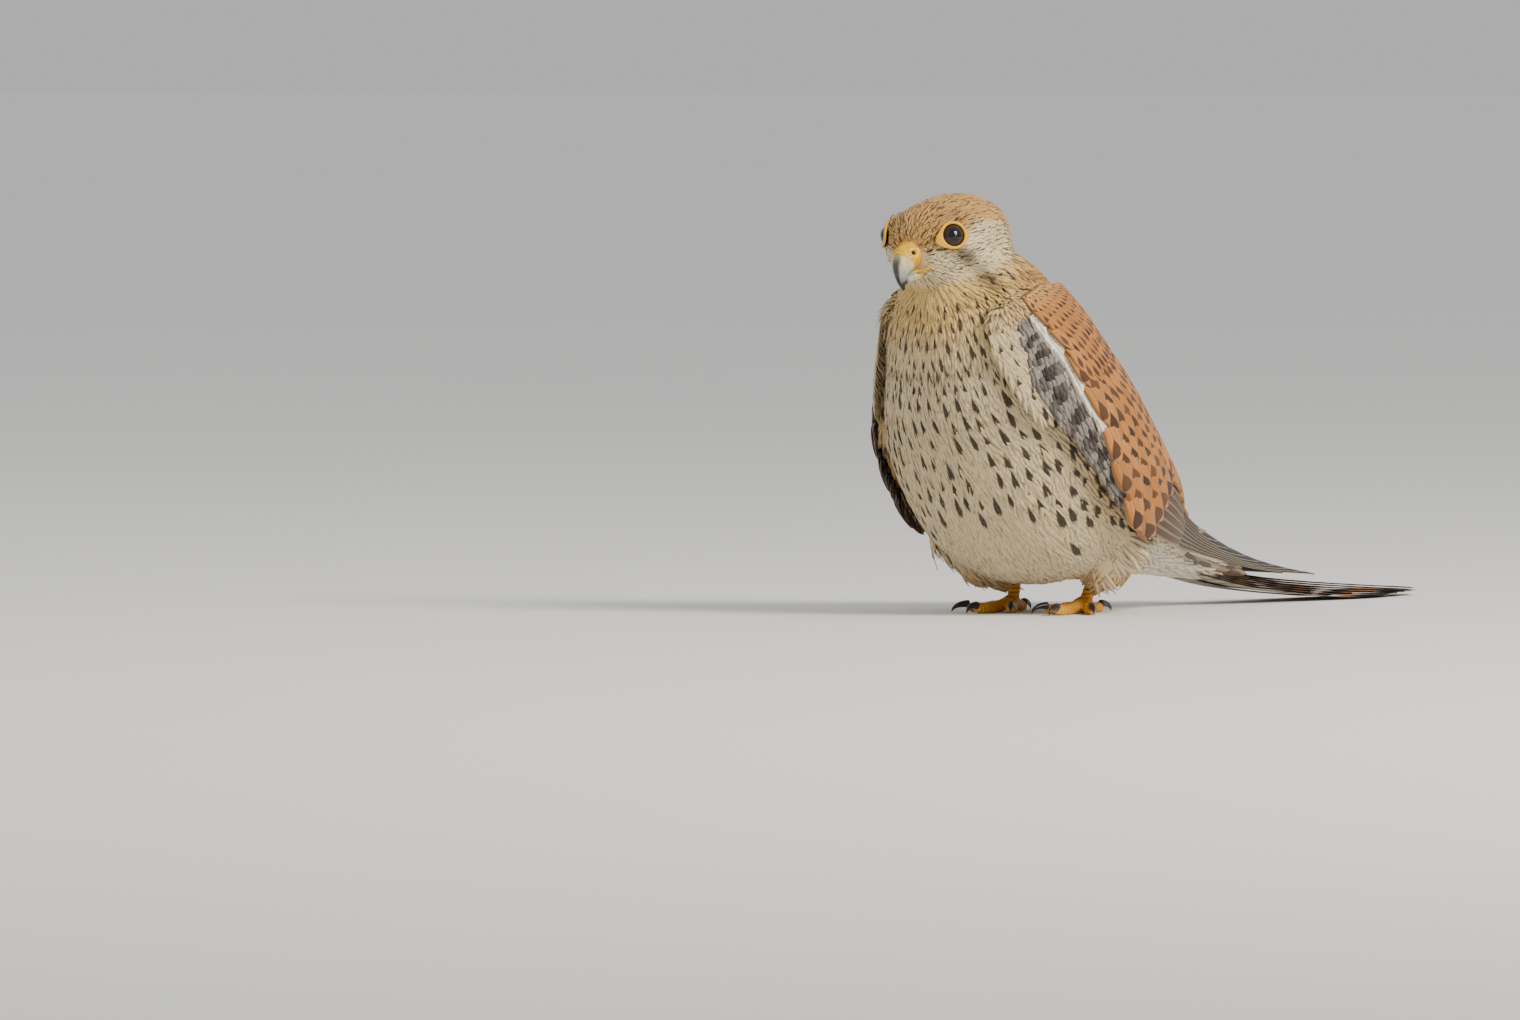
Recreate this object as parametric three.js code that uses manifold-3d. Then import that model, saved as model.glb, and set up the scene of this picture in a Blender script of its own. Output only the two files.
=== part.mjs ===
// A perched kestrel, a small falcon, life size in millimetres.
// The bird faces -Y, its left side is +X, +Z is up, and it stands on the plane z = 0.
// It is a still model: every named mesh is one body part, each a closed solid that
// stops a thin gap short of its neighbours.
import * as THREE from "three";
import { mergeVertices } from "three/addons/utils/BufferGeometryUtils.js";
import Module from "manifold-3d";

const wasm = await Module();
wasm.setup();

const V3 = THREE.Vector3;
const vec = (x, y, z) => new V3(x, y, z);
const lerp = THREE.MathUtils.lerp;
const clamp = THREE.MathUtils.clamp;
const rad = THREE.MathUtils.degToRad;

// A seeded draw of numbers from 0 to 1.
function random(seed) {
  let state = seed;
  return () => {
    state = (state * 16807) % 2147483647;
    return state / 2147483647;
  };
}

// Sizes of the whole bird
const GAP = 0.3; // clearance between touching parts
const TOUCH_GAP = 0.03; // from one sheet of a part to another that would touch it
const FEET = vec(-0.4, -59, 0); // midway between the feet, so that the box is centred on the origin

// The spine from inside the head to the tip of the tail, with the feet at 0: x, y, z,
// half width, half height towards the back, half height towards the belly
const SPINE = [
  [-7.5, -66, 141, 14, 13, 13],
  [-5.5, -58, 121, 27, 27.5, 24],
  [-3, -49, 101, 38.5, 32, 34],
  [-1, -40, 82, 46, 34, 39.5],
  [0, -28, 64, 48.5, 34, 42],
  [1, -12, 48, 47, 32, 41],
  [2.5, 8, 37, 41, 27, 29],
  [5, 28, 29, 31, 20, 19],
  [9, 48, 23, 22, 13, 12.5],
  [14, 70, 17.5, 16, 8, 8.5],
  [22, 104, 10.5, 15, 5, 5],
  [32, 148, 6, 15, 4, 4],
  [46, 212, 1.8, 15, 3, 3],
];

// Head, in its own frame: x to the left, y forward from its middle, z up
const HEAD_CENTRE = vec(-9.2, -68.4, 138.2);
const HEAD_YAW = -9; // degrees the bill turns to the bird's left
const HEAD_PITCH = 22; // degrees the bill points down
const HEAD_ROLL = 0;
// forward, height of the middle, half width, half height up, half height down
const HEAD_RINGS = [
  [-27.5, -5.5, 3, 3, 4],
  [-26, -5, 9.5, 9.5, 11],
  [-21.5, -4, 16.5, 14.5, 18],
  [-13, -3, 20.6, 17.2, 22],
  [-3, -1.5, 21, 17.3, 21.5],
  [5, -0.8, 19.8, 16.6, 20],
  [12, 0, 16.8, 14, 15.5],
  [17, 0.3, 11.8, 10.5, 11],
  [20, 0.8, 7, 6, 6.5],
];
const EYE_RADIUS = 5.6;
const EYE_CENTRE = vec(12.2, 8.4, 5.2); // the left eye
const GAZE = vec(0.84, 0.4, 0.36);
const LID_RADIUS = 4.5;
const LID_THICK = 0.8;
const LID_LIFT = 4; // from the middle of the eye to the ring of the lids
// Upper bill from the face to the hook: forward, up, slope, half width, half height
const BILL = [
  [15, 2.2, -8, 6.4, 4.9],
  [18.5, 2.1, -12, 5.6, 4.9],
  [22, 1.4, -24, 4.8, 4.7],
  [24.7, -0.4, -46, 3.8, 3.8],
  [26.1, -3, -72, 2.5, 2.4],
  [26.6, -5.6, -90, 1.4, 1.4],
  [26.3, -8.4, -102, 0.4, 0.4],
];
const NOSTRIL = vec(4.4, 20.8, 4.2);
const NOSTRIL_RADIUS = 1;
const CERE_END = 0.34; // share of the upper bill that the cere covers

// Legs
const FOOT_SPREAD = 15; // each foot from the middle
const ANKLE = vec(18, 12, 28);
const TOE_BASE_HEIGHT = 5.5;
const TARSUS_RADIUS = 2.1;
const TOES = [
  // name, length, splay in degrees from straight ahead, thickness
  ["inner", 17, -26, 2.1],
  ["middle", 25, 4, 2.2],
  ["outer", 18, 36, 2.0],
  ["hind", 11, 174, 2.1],
];
const CLAW_LENGTH = 10;
const CLAW_RADIUS = 1.5;

// The plumage colours and horn
const COLOURS = {
  crown: "#a98a63",
  breast: "#cdbb9c",
  wing: "#b5764a",
  tail: "#8c6a4c",
  rump: "#c9bca4",
  thigh: "#d9c49c",
  skin: "#e3b53c",
  horn: "#4a4a50",
  eye: "#1c120c",
};
const finish = (name, roughness = 0.8) =>
  new THREE.MeshStandardMaterial({
    color: COLOURS[name],
    roughness,
    metalness: 0,
  });

// Solids and meshes

// A closed indexed geometry as a manifold-3d solid.
function solidOf(geometry, tolerance = 1e-4) {
  const bare = new THREE.BufferGeometry();
  const source = geometry.index ? geometry.toNonIndexed() : geometry;
  bare.setAttribute("position", source.getAttribute("position"));
  const merged = mergeVertices(bare, tolerance);
  return new wasm.Manifold(
    new wasm.Mesh({
      numProp: 3,
      vertProperties: new Float32Array(merged.attributes.position.array),
      triVerts: new Uint32Array(merged.index.array),
    }),
  );
}

const joined = (solids) => solids.reduce((sum, solid) => sum.add(solid));

// Keeps the largest closed surface of a solid.
function largest(solid) {
  return solid
    .decompose()
    .reduce((best, piece) => (piece.volume() > best.volume() ? piece : best));
}

function geometryOf(solid) {
  const data = solid.getMesh();
  const positions = new Float32Array(data.numVert * 3);
  for (let i = 0; i < data.numVert; i++)
    positions.set(
      data.vertProperties.subarray(i * data.numProp, i * data.numProp + 3),
      i * 3,
    );
  return new THREE.BufferGeometry()
    .setAttribute("position", new THREE.BufferAttribute(positions, 3))
    .setIndex(new THREE.BufferAttribute(data.triVerts, 1));
}

// Where two sheets of a body touch along an edge, each has its own corner in the same place.
// This draws such corners apart, each a little way into the body.
function partTouching(geometry) {
  geometry.computeVertexNormals();
  const position = geometry.getAttribute("position");
  const normal = geometry.getAttribute("normal");
  const places = new Map();
  for (let i = 0; i < position.count; i++) {
    const key = [position.getX(i), position.getY(i), position.getZ(i)].join();
    places.set(key, [...(places.get(key) ?? []), i]);
  }
  const point = vec(0, 0, 0);
  const way = vec(0, 0, 0);
  for (const shared of places.values())
    for (const i of shared.length > 1 ? shared : []) {
      way.fromBufferAttribute(normal, i);
      point.fromBufferAttribute(position, i).addScaledVector(way, -TOUCH_GAP);
      position.setXYZ(i, point.x, point.y, point.z);
    }
  return geometry;
}

// A named mesh of a solid's largest body, with points closer than a few microns merged.
function meshOf(name, solid, material) {
  const clean = solidOf(geometryOf(largest(solid)), 4e-3);
  const geometry = partTouching(geometryOf(largest(clean)));
  const mesh = new THREE.Mesh(geometry, material);
  mesh.name = name;
  return mesh;
}

// A skin over rings of equally many points, closed by a fan at each end.
function skin(rings) {
  const count = rings[0].length;
  const points = [];
  for (const ring of rings) for (const p of ring) points.push(p.x, p.y, p.z);
  const middle = (ring) =>
    ring.reduce((sum, p) => sum.add(p), vec(0, 0, 0)).divideScalar(count);
  const ends = [middle(rings[0]), middle(rings[rings.length - 1])];
  for (const p of ends) points.push(p.x, p.y, p.z);
  const first = rings.length * count;
  const faces = [];
  for (let i = 0; i < rings.length - 1; i++)
    for (let j = 0; j < count; j++) {
      const a = i * count + j;
      const b = i * count + ((j + 1) % count);
      faces.push(a, b, a + count, b, b + count, a + count);
    }
  for (let j = 0; j < count; j++) {
    const next = (j + 1) % count;
    const last = (rings.length - 1) * count;
    faces.push(first, next, j, first + 1, last + j, last + next);
  }
  const geometry = new THREE.BufferGeometry();
  geometry.setAttribute("position", new THREE.Float32BufferAttribute(points, 3));
  geometry.setIndex(faces);
  return facingOut(geometry);
}

// The solid of a closed geometry, turned so that its faces point out.
function facingOut(geometry) {
  const solid = solidOf(geometry);
  if (solid.volume() > 0) return solid;
  const index = geometry.index.array;
  for (let i = 0; i < index.length; i += 3)
    [index[i + 1], index[i + 2]] = [index[i + 2], index[i + 1]];
  return solidOf(geometry);
}

// An ellipse of points round a middle, with one half height up and another down.
function ellipse(middle, across, up, width, high, low, count) {
  const ring = [];
  for (let j = 0; j < count; j++) {
    const angle = (j / count) * 2 * Math.PI;
    const lift = Math.sin(angle);
    ring.push(
      middle
        .clone()
        .addScaledVector(across, width * Math.cos(angle))
        .addScaledVector(up, lift * (lift > 0 ? high : low)),
    );
  }
  return ring;
}

// A tapered tube along a list of points.
function tube(points, radii, sides, up = vec(0, 0, 1)) {
  return skin(
    points.map((p, i) => {
      const before = points[Math.max(0, i - 1)];
      const after = points[Math.min(points.length - 1, i + 1)];
      const along = after.clone().sub(before).normalize();
      const across = along.clone().cross(up).normalize();
      const high = across.clone().cross(along);
      return ellipse(p, across, high, radii[i], radii[i], radii[i], sides);
    }),
  );
}

function ball(centre, radius, segments) {
  const geometry = new THREE.SphereGeometry(radius, segments, segments / 2);
  return solidOf(geometry).translate([centre.x, centre.y, centre.z]);
}

// A large box on one side of a plane: its near face lies on the plane.
function halfSpace(point, normal) {
  const size = 600;
  const box = new THREE.BoxGeometry(size, size, size);
  box.translate(0, 0, size / 2);
  box.applyQuaternion(
    new THREE.Quaternion().setFromUnitVectors(vec(0, 0, 1), normal),
  );
  box.translate(point.x, point.y, point.z);
  return solidOf(box);
}

// The spine and the trunk

// Catmull-Rom through the rows of a table, t from 0 to 1.
function row(table, t) {
  const at = clamp(t, 0, 1) * (table.length - 1);
  const i = Math.min(Math.floor(at), table.length - 2);
  const f = at - i;
  const pick = (k) => table[clamp(k, 0, table.length - 1)];
  const [a, b, c, d] = [pick(i - 1), pick(i), pick(i + 1), pick(i + 2)];
  return b.map((_, k) => {
    const m0 = (c[k] - a[k]) / 2;
    const m1 = (d[k] - b[k]) / 2;
    return (
      (2 * f ** 3 - 3 * f ** 2 + 1) * b[k] +
      (f ** 3 - 2 * f ** 2 + f) * m0 +
      (-2 * f ** 3 + 3 * f ** 2) * c[k] +
      (f ** 3 - f ** 2) * m1
    );
  });
}

const spineAt = (t) => {
  const [x, y, z] = row(SPINE, t);
  return vec(x, y, z).add(FEET);
};

// The spine's frame at t: its middle, the way to the tail, to the left and to the back.
function spineFrame(t) {
  const values = row(SPINE, t);
  const middle = spineAt(t);
  const along = spineAt(t + 0.01)
    .sub(spineAt(t - 0.01))
    .normalize();
  const level = along.clone().cross(vec(0, 0, 1)).normalize();
  return {
    middle,
    along,
    left: level,
    back: level.clone().cross(along),
    width: values[3],
    high: values[4],
    low: values[5],
  };
}

const TRUNK_END = 0.79; // spine t where the tail coverts end
const TRUNK_RINGS = 26;
const TRUNK_SIDES = 22;

function trunk(grow = 0) {
  const rings = [];
  for (let i = 0; i <= TRUNK_RINGS; i++) {
    const t = (i / TRUNK_RINGS) * TRUNK_END;
    const f = spineFrame(t);
    rings.push(
      ellipse(
        f.middle,
        f.left,
        f.back,
        f.width + grow,
        f.high + grow,
        f.low + grow,
        TRUNK_SIDES,
      ),
    );
  }
  return skin(rings);
}

// The head

const headTurn = new THREE.Matrix4()
  .makeTranslation(...HEAD_CENTRE.clone().add(FEET))
  .multiply(new THREE.Matrix4().makeRotationZ(rad(HEAD_YAW)))
  .multiply(new THREE.Matrix4().makeRotationX(rad(HEAD_PITCH)))
  .multiply(new THREE.Matrix4().makeRotationY(rad(HEAD_ROLL)))
  .multiply(new THREE.Matrix4().makeScale(1, -1, 1));
// A point of the head's own frame (left, forward, up) in the bird's frame.
const fromHead = (p) => p.clone().applyMatrix4(headTurn);
const headWay = (p) =>
  fromHead(p)
    .sub(fromHead(vec(0, 0, 0)))
    .normalize();

function headRings(grow = 0) {
  const rings = [];
  const steps = 14;
  for (let i = 0; i <= steps; i++) {
    const [forward, height, width, up, down] = row(HEAD_RINGS, i / steps);
    rings.push(
      ellipse(
        fromHead(vec(0, forward + grow * (i / steps - 0.5) * 2, height)),
        headWay(vec(1, 0, 0)),
        headWay(vec(0, 0, 1)),
        width + grow,
        up + grow,
        down + grow,
        20,
      ),
    );
  }
  return rings;
}

const mirrored = (p, side) => vec(p.x * side, p.y, p.z);
// The way that an eye looks.
const gaze = (side) => headWay(mirrored(GAZE, side));

function eyeBall(side, grow = 0) {
  return ball(
    fromHead(mirrored(EYE_CENTRE, side)),
    EYE_RADIUS + grow,
    12,
  );
}

function eyeLid(side, grow = 0) {
  const look = gaze(side);
  const ring = new THREE.TorusGeometry(LID_RADIUS, LID_THICK + grow, 6, 15);
  ring.applyQuaternion(
    new THREE.Quaternion().setFromUnitVectors(vec(0, 0, 1), look),
  );
  const middle = fromHead(mirrored(EYE_CENTRE, side)).addScaledVector(look, LID_LIFT);
  ring.translate(middle.x, middle.y, middle.z);
  return solidOf(ring);
}

// The ridge of feathers over an eye.
function brow(side) {
  const points = [
    [8.7, 14.5, 9.2],
    [11.2, 12, 10.8],
    [13, 8, 11.6],
    [14.4, 3, 11.5],
    [15.2, -3, 10.4],
  ].map(([x, y, z]) => fromHead(mirrored(vec(x, y, z), side)));
  return tube(points, [0.6, 1.3, 1.7, 1.5, 0.6], 6);
}

// The corner of the mouth, a groove from the bill back into the face.
function gape(side) {
  const points = [
    [4.6, 20.6, -3.6],
    [8.2, 19, -3.1],
    [10.4, 17, -2.3],
  ].map(([x, y, z]) => fromHead(mirrored(vec(x, y, z), side)));
  return tube(points, [0.5, 0.6, 0.35], 6);
}

// The upper bill, from one share of its length to another.
function upperBill(from, to, grow = 0, steps = 10) {
  const rings = [];
  for (let i = 0; i <= steps; i++) {
    const [forward, up, slope, width, high] = row(BILL, lerp(from, to, i / steps));
    const rise = vec(0, -Math.sin(rad(slope)), Math.cos(rad(slope)));
    rings.push(
      ellipse(
        fromHead(vec(0, forward, up)),
        headWay(vec(1, 0, 0)),
        headWay(rise),
        width + grow,
        high + grow,
        high + grow,
        14,
      ),
    );
  }
  return skin(rings);
}

function lowerBill(grow = 0) {
  const rings = [
    [12, -4.2, 5.4, 2.6],
    [17.5, -4.9, 4.6, 2.5],
    [21.5, -5.3, 3.6, 2.3],
    [24.4, -5.5, 2.1, 1.6],
    [25.5, -5.4, 1, 0.8],
  ];
  return skin(
    rings.map(([forward, up, width, high]) =>
      ellipse(
        fromHead(vec(0, forward, up)),
        headWay(vec(1, 0, 0)),
        headWay(vec(0, 0, 1)),
        width + grow,
        high + grow,
        high + grow,
        12,
      ),
    ),
  );
}

// The folded wings

// The wing wraps the trunk: place on the spine, half width and half height of the wrap, degrees
// round from the belly at its lower and upper edge, thickness
const WING = [
  [0.09, 33, 29, 62, 104, 3],
  [0.13, 39, 32, 56, 144, 6],
  [0.2, 47, 36, 58, 160, 8],
  [0.28, 52, 38, 62, 166, 8],
  [0.36, 54, 38.5, 66, 168, 8],
  [0.44, 52.5, 37.5, 71, 168, 7],
  [0.52, 47.5, 33.5, 77, 168, 6],
  [0.6, 38, 26.5, 84, 168, 5],
  [0.68, 29, 19.5, 91, 168, 4.5],
  [0.76, 22, 13.5, 100, 167, 4],
  [0.82, 18, 10, 113, 166, 3.5],
  [0.87, 15.5, 8, 128, 164, 3],
  [0.91, 14, 7, 138, 160, 2.2],
];

const CORE_END = 0.42; // where the arm inside the wing ends, as a share of the wing
const VANE_THICK = 0.5;
const VANE_GRID = 0.07; // from one section of a vane to the next along the wing
const PRIMARIES = 6; // those whose tips show
const LANES = 5; // feathers side by side in a row of secondaries or coverts
const LIFT_SPREAD = 0.12; // how unevenly the feathers of a row lie

// A frame on the wing's outer face: w from 0 at the wrist to 1 at the tip, v from 0 at the
// lower edge to 1 at the upper edge, side 1 for the left wing.
function wingFrame(side, w, v) {
  const [t, width, high, from, to, thick] = row(WING, w);
  const f = spineFrame(t);
  const turn = rad(lerp(from, to, v));
  const sin = Math.sin(turn);
  const cos = Math.cos(turn);
  const low = high * 1.1;
  const reach = cos < 0 ? high : low;
  const point = f.middle
    .clone()
    .addScaledVector(f.left, side * width * sin)
    .addScaledVector(f.back, -reach * cos);
  const normal = f.left
    .clone()
    .multiplyScalar((side * sin) / width)
    .addScaledVector(f.back, -cos / reach)
    .normalize();
  return { point, normal, along: f.along, thick };
}

// The arm and hand inside the folded wing, which the feathers grow from.
function wingCore(side) {
  const steps = 9;
  const columns = 6;
  const rings = [];
  for (let i = 0; i <= steps; i++) {
    const w = (i / steps) * CORE_END;
    const taper = Math.sqrt(clamp(1.04 - (w / CORE_END) ** 3, 0.05, 1));
    const ring = [];
    const edge = (v) => Math.sqrt(Math.max(0.05, 1 - (2 * v - 1) ** 4)) * taper;
    for (let j = 0; j <= columns; j++) {
      const v = 0.03 + 0.94 * (j / columns);
      const { point, normal } = wingFrame(side, w, v);
      ring.push(point.addScaledVector(normal, edge(v) - 1));
    }
    for (let j = columns; j >= 0; j--) {
      const v = 0.03 + 0.94 * (j / columns);
      const { point, normal, thick } = wingFrame(side, w, v);
      ring.push(point.addScaledVector(normal, -Math.max(1.6, thick * edge(v))));
    }
    rings.push(ring);
  }
  return skin(rings);
}

// Where a feather has its sections: on one grid along the wing, so that feathers that lie over
// one another bend alike, and closer together at the tip.
function sections(from, to) {
  const places = [from];
  for (let w = Math.ceil((from + 0.01) / VANE_GRID) * VANE_GRID; w < to - 0.02; w += VANE_GRID)
    places.push(w);
  places.push(to - 0.008, to);
  return places;
}

// A plain block around a whole wing, which the thighs keep clear of.
function wingBlock(side) {
  const rings = [];
  const steps = 16;
  const columns = 8;
  const low = (v) => lerp(-0.14, 1.06, v);
  for (let i = 0; i <= steps; i++) {
    const w = (i / steps) * 1.02;
    const ring = [];
    for (let j = 0; j <= columns; j++) {
      const { point, normal } = wingFrame(side, w, low(j / columns));
      ring.push(point.addScaledVector(normal, 8));
    }
    for (let j = columns; j >= 0; j--) {
      const { point, normal } = wingFrame(side, w, low(j / columns));
      ring.push(point.addScaledVector(normal, -8));
    }
    rings.push(ring);
  }
  return skin(rings);
}

// One feather's vane: it runs from w = from to w = to between the places low and high across
// the wing, lift is its height over the wing's face, sink its depth at the root and tilt the
// extra height of its upper edge.
function wingVane(side, { from, to, low, high, lift, sink, tilt = 0, point = 0.05 }) {
  const middle = (low + high) / 2;
  const rings = sections(from, to).map((w) => {
    const tip = Math.sqrt(clamp((to - w) / point, 0, 1));
    const root = lerp(0.6, 1, Math.min(1, (w - from) / 0.05));
    const reach = ((high - low) / 2) * Math.max(0.2, tip * root);
    const rise = lerp(-sink, lift, clamp((w - from) / 0.08, 0, 1));
    const top = [];
    const bottom = [];
    for (const x of [-1, 0, 1]) {
      const face = wingFrame(side, w, middle + x * reach);
      const height = rise + (tilt * x * reach * 2) / (high - low);
      top.push(face.point.clone().addScaledVector(face.normal, height));
      bottom.push(face.point.clone().addScaledVector(face.normal, height - VANE_THICK));
    }
    return [...top, ...bottom.reverse()];
  });
  return skin(rings);
}

// A row of feathers side by side, each with its upper edge over its neighbour. from and to
// give the row's roots and tips, and arch how much farther its middle ones reach.
function wingRow(side, draw, { count, from, to, arch = 0, lift, sink }) {
  const vanes = [];
  for (let k = 0; k < count; k++) {
    const share = (k + 0.5) / count;
    vanes.push(
      wingVane(side, {
        from,
        to: (to + arch * Math.sin(share * Math.PI)) * (1 + 0.03 * (draw() - 0.5)),
        low: (k - 0.18) / count,
        high: (k + 1.16) / count,
        lift: lift + LIFT_SPREAD * (draw() - 0.5),
        sink,
        tilt: 0.68,
      }),
    );
  }
  return vanes;
}

function wingVanes(side) {
  const draw = random(side > 0 ? 11 : 29);
  const vanes = [];
  // Primaries: the outermost is the lowest and the longest
  for (let k = 0; k < PRIMARIES; k++) {
    const share = k / (PRIMARIES - 1);
    vanes.push(
      wingVane(side, {
        from: 0.37,
        to: lerp(1, 0.74, share) * (1 + 0.01 * (draw() - 0.5)),
        low: (k - 0.1) / PRIMARIES,
        high: (k + 1.7) / PRIMARIES,
        lift: -1.4 + LIFT_SPREAD * (draw() - 0.5),
        sink: 3,
        tilt: 0.9,
        point: 0.12,
      }),
    );
  }
  const rows = [
    { count: LANES, from: 0.32, to: 0.56, arch: 0.08, lift: 1, sink: 3 },
    { count: LANES, from: 0.25, to: 0.4, arch: 0.05, lift: 1.8, sink: 2.4 },
    { count: LANES, from: 0.15, to: 0.29, arch: 0.04, lift: 2.5, sink: 1.6 },
    { count: LANES - 1, from: 0.06, to: 0.19, arch: 0.03, lift: 2.8, sink: 1.2 },
    { count: LANES - 2, from: 0.01, to: 0.1, arch: 0.02, lift: 2.8, sink: 1 },
  ];
  for (const one of rows) vanes.push(...wingRow(side, draw, one));
  return vanes;
}

// The tail

const TAIL_ROOT = 0.7; // where on the spine the tail feathers are rooted
const TAIL_HALF = 16; // half width at the tip
const TAIL_VANE = 0.55;
const TAIL_STEP = 0.85; // from one layer of feathers to the next
const TAIL_DEPTH = 5 * TAIL_STEP + TAIL_VANE + 0.4;
const tailHalf = (share) =>
  lerp(8, TAIL_HALF, Math.pow(clamp(share, 0, 1), 0.6));

// A place over the tail: share 0 at its root to 1 at its tip, out to one side, up from the spine.
function tailPoint(share, out, up) {
  const f = spineFrame(lerp(TAIL_ROOT, 1, share));
  return f.middle.addScaledVector(f.left, out).addScaledVector(f.back, up);
}

// A plain block around all of the tail feathers, which the rump and the wings keep clear of.
function tailBlock(grow, end = 1.02) {
  const rings = [];
  const steps = 12;
  for (let i = 0; i <= steps; i++) {
    const share = lerp(-0.03, end, i / steps);
    const half = tailHalf(share) + grow;
    const low = -(TAIL_DEPTH + grow);
    rings.push([
      tailPoint(share, -half, low),
      tailPoint(share, half, low),
      tailPoint(share, half, 0.6 + grow),
      tailPoint(share, 0, 1.2 + grow),
      tailPoint(share, -half, 0.6 + grow),
    ]);
  }
  return skin(rings);
}

// One tail feather between an inner and an outer edge, at one height.
function tailVane(inner, outer, up, length) {
  const rings = [];
  const places = [0, 0.12, 0.5, 0.92, 0.98, 1];
  for (const u of places) {
    const share = u * length;
    const fan = tailHalf(share) / tailHalf(1);
    const tip = Math.pow(Math.max(0, 1 - Math.pow(u, 12)), 0.5);
    const middle = (inner + outer) / 2;
    const reach = Math.max(0.15, tip) * ((outer - inner) / 2);
    const rise = up * lerp(0.8, 1, Math.min(1, u / 0.12)) - 0.3;
    const thick = TAIL_VANE * (u === 1 ? 0.5 : 1);
    const ring = [];
    for (const x of [-1, 0, 1])
      ring.push(tailPoint(share, (middle + x * reach) * fan, rise + (x ? 0 : 0.12)));
    for (const x of [1, 0, -1])
      ring.push(
        tailPoint(share, (middle + x * reach) * fan, rise - thick + (x ? 0 : 0.12)),
      );
    rings.push(ring);
  }
  return skin(rings);
}

// The twelve feathers: a pair over the middle and five to each side under it, the outermost
// lowest and shortest.
function tailFeathers() {
  const root = [0, 0.05, 0.1].map((share) =>
    ellipse(
      tailPoint(share, 0, -TAIL_DEPTH / 2),
      vec(1, 0, 0),
      vec(0, 0, 1),
      lerp(5.5, 4, share * 10),
      lerp(2.9, 1.2, share * 10),
      lerp(2.9, 1.2, share * 10),
      10,
    ),
  );
  const vanes = [skin(root)];
  vanes.push(tailVane(-8.5, 7.5, 0.8, 1), tailVane(-7.5, 8.5, 0, 0.99));
  for (let k = 1; k <= 5; k++) {
    const outer = lerp(9.4, TAIL_HALF, k / 5);
    const length = 0.985 - 0.022 * k;
    for (const side of [1, -1]) {
      const edges = [0.5 + 0.5 * k, outer].map((x) => x * side).sort((a, b) => a - b);
      vanes.push(tailVane(edges[0], edges[1], -TAIL_STEP * k, length));
    }
  }
  return joined(vanes);
}

// The legs

const ground = halfSpace(vec(0, 0, 0), vec(0, 0, 1));
const footAt = (side) =>
  vec(FOOT_SPREAD * side, 0, TOE_BASE_HEIGHT).add(FEET);
const ankleAt = (side) => mirrored(ANKLE, side).add(FEET);

function thigh(side) {
  const points = [
    [29, -6, 46],
    [30, -6, 31],
    [24.5, -2, 18.5],
    [17.5, 2, 9.5],
  ].map(([x, y, z]) => vec(x * side, y, z).add(FEET));
  return tube(points, [15, 17, 13, 5], 16, vec(0, 1, 0));
}

function tarsus(side, grow = 0) {
  const top = ankleAt(side);
  const foot = footAt(side);
  return tube(
    [top, top.clone().lerp(foot, 0.5), foot],
    [TARSUS_RADIUS * 1.25, TARSUS_RADIUS, TARSUS_RADIUS * 1.1].map(
      (r) => r + grow,
    ),
    10,
    vec(1, 0, 0),
  );
}

const toeWay = (side, splay) =>
  vec(Math.sin(rad(splay)) * side, -Math.cos(rad(splay)), 0);

function toe(side, [, length, splay, thick]) {
  const way = toeWay(side, splay);
  const start = footAt(side);
  const at = (share, height) =>
    vec(start.x, start.y, height).addScaledVector(way, length * share);
  return tube(
    [
      at(0, TOE_BASE_HEIGHT - 1.6),
      at(0.3, 2.5),
      at(0.6, 1.8),
      at(0.85, 1.6),
      at(1, 2.1),
    ],
    [thick * 1.25, thick * 1.05, thick, thick * 1.02, thick * 0.72],
    7,
  );
}

function claw(side, [, length, splay]) {
  const way = toeWay(side, splay);
  const start = footAt(side);
  const points = [];
  const radii = [];
  const steps = 5;
  for (let i = 0; i <= steps; i++) {
    const share = i / steps;
    const turn = share * rad(88);
    const reach = length + 0.5 + CLAW_LENGTH * 0.72 * Math.sin(turn) * 0.95;
    const height = 3.1 - CLAW_LENGTH * 0.3 * (1 - Math.cos(turn)) + 0.9 * share * (1 - share);
    points.push(vec(start.x, start.y, height).addScaledVector(way, reach));
    radii.push(Math.max(0.18, CLAW_RADIUS * Math.pow(1 - share, 0.8)));
  }
  return tube(points, radii, 6);
}

// Putting the parts together

const bird = new THREE.Group();
const add = (name, solid, material) =>
  bird.add(meshOf(name, solid, material));

const crownFinish = finish("crown");
const breastFinish = finish("breast");
const skinFinish = finish("skin", 0.5);
const hornFinish = finish("horn", 0.35);
const eyeFinish = finish("eye", 0.08);

const headWhole = skin(headRings());
const headGrown = skin(headRings(GAP));
const trunkWhole = trunk();
const trunkGrown = trunk(1.5 * GAP);

const sides = [
  ["left", 1],
  ["right", -1],
];

// Head: the skull's plumage with a socket for each eye and a seat for the bill
let head = headWhole.add(brow(1)).add(brow(-1));
for (const [, side] of sides)
  head = head
    .subtract(eyeBall(side, GAP))
    .subtract(eyeLid(side, GAP))
    .subtract(gape(side));
head = head.subtract(upperBill(0.1, 1, GAP)).subtract(lowerBill(GAP));
add("head", head, crownFinish);

for (const [name, side] of sides) {
  add("eye_" + name, eyeBall(side), eyeFinish);
  add("eyelid_" + name, eyeLid(side).subtract(eyeBall(side, GAP)), skinFinish);
}

let cere = upperBill(0.1, CERE_END, 0, 5);
for (const [, side] of sides)
  cere = cere.subtract(ball(fromHead(mirrored(NOSTRIL, side)), NOSTRIL_RADIUS, 8));
add("cere", cere, skinFinish);
add("bill_upper", upperBill(CERE_END + 0.02, 1), hornFinish);
add(
  "bill_lower",
  lowerBill().subtract(upperBill(0.05, 1, GAP)),
  hornFinish,
);

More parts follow.
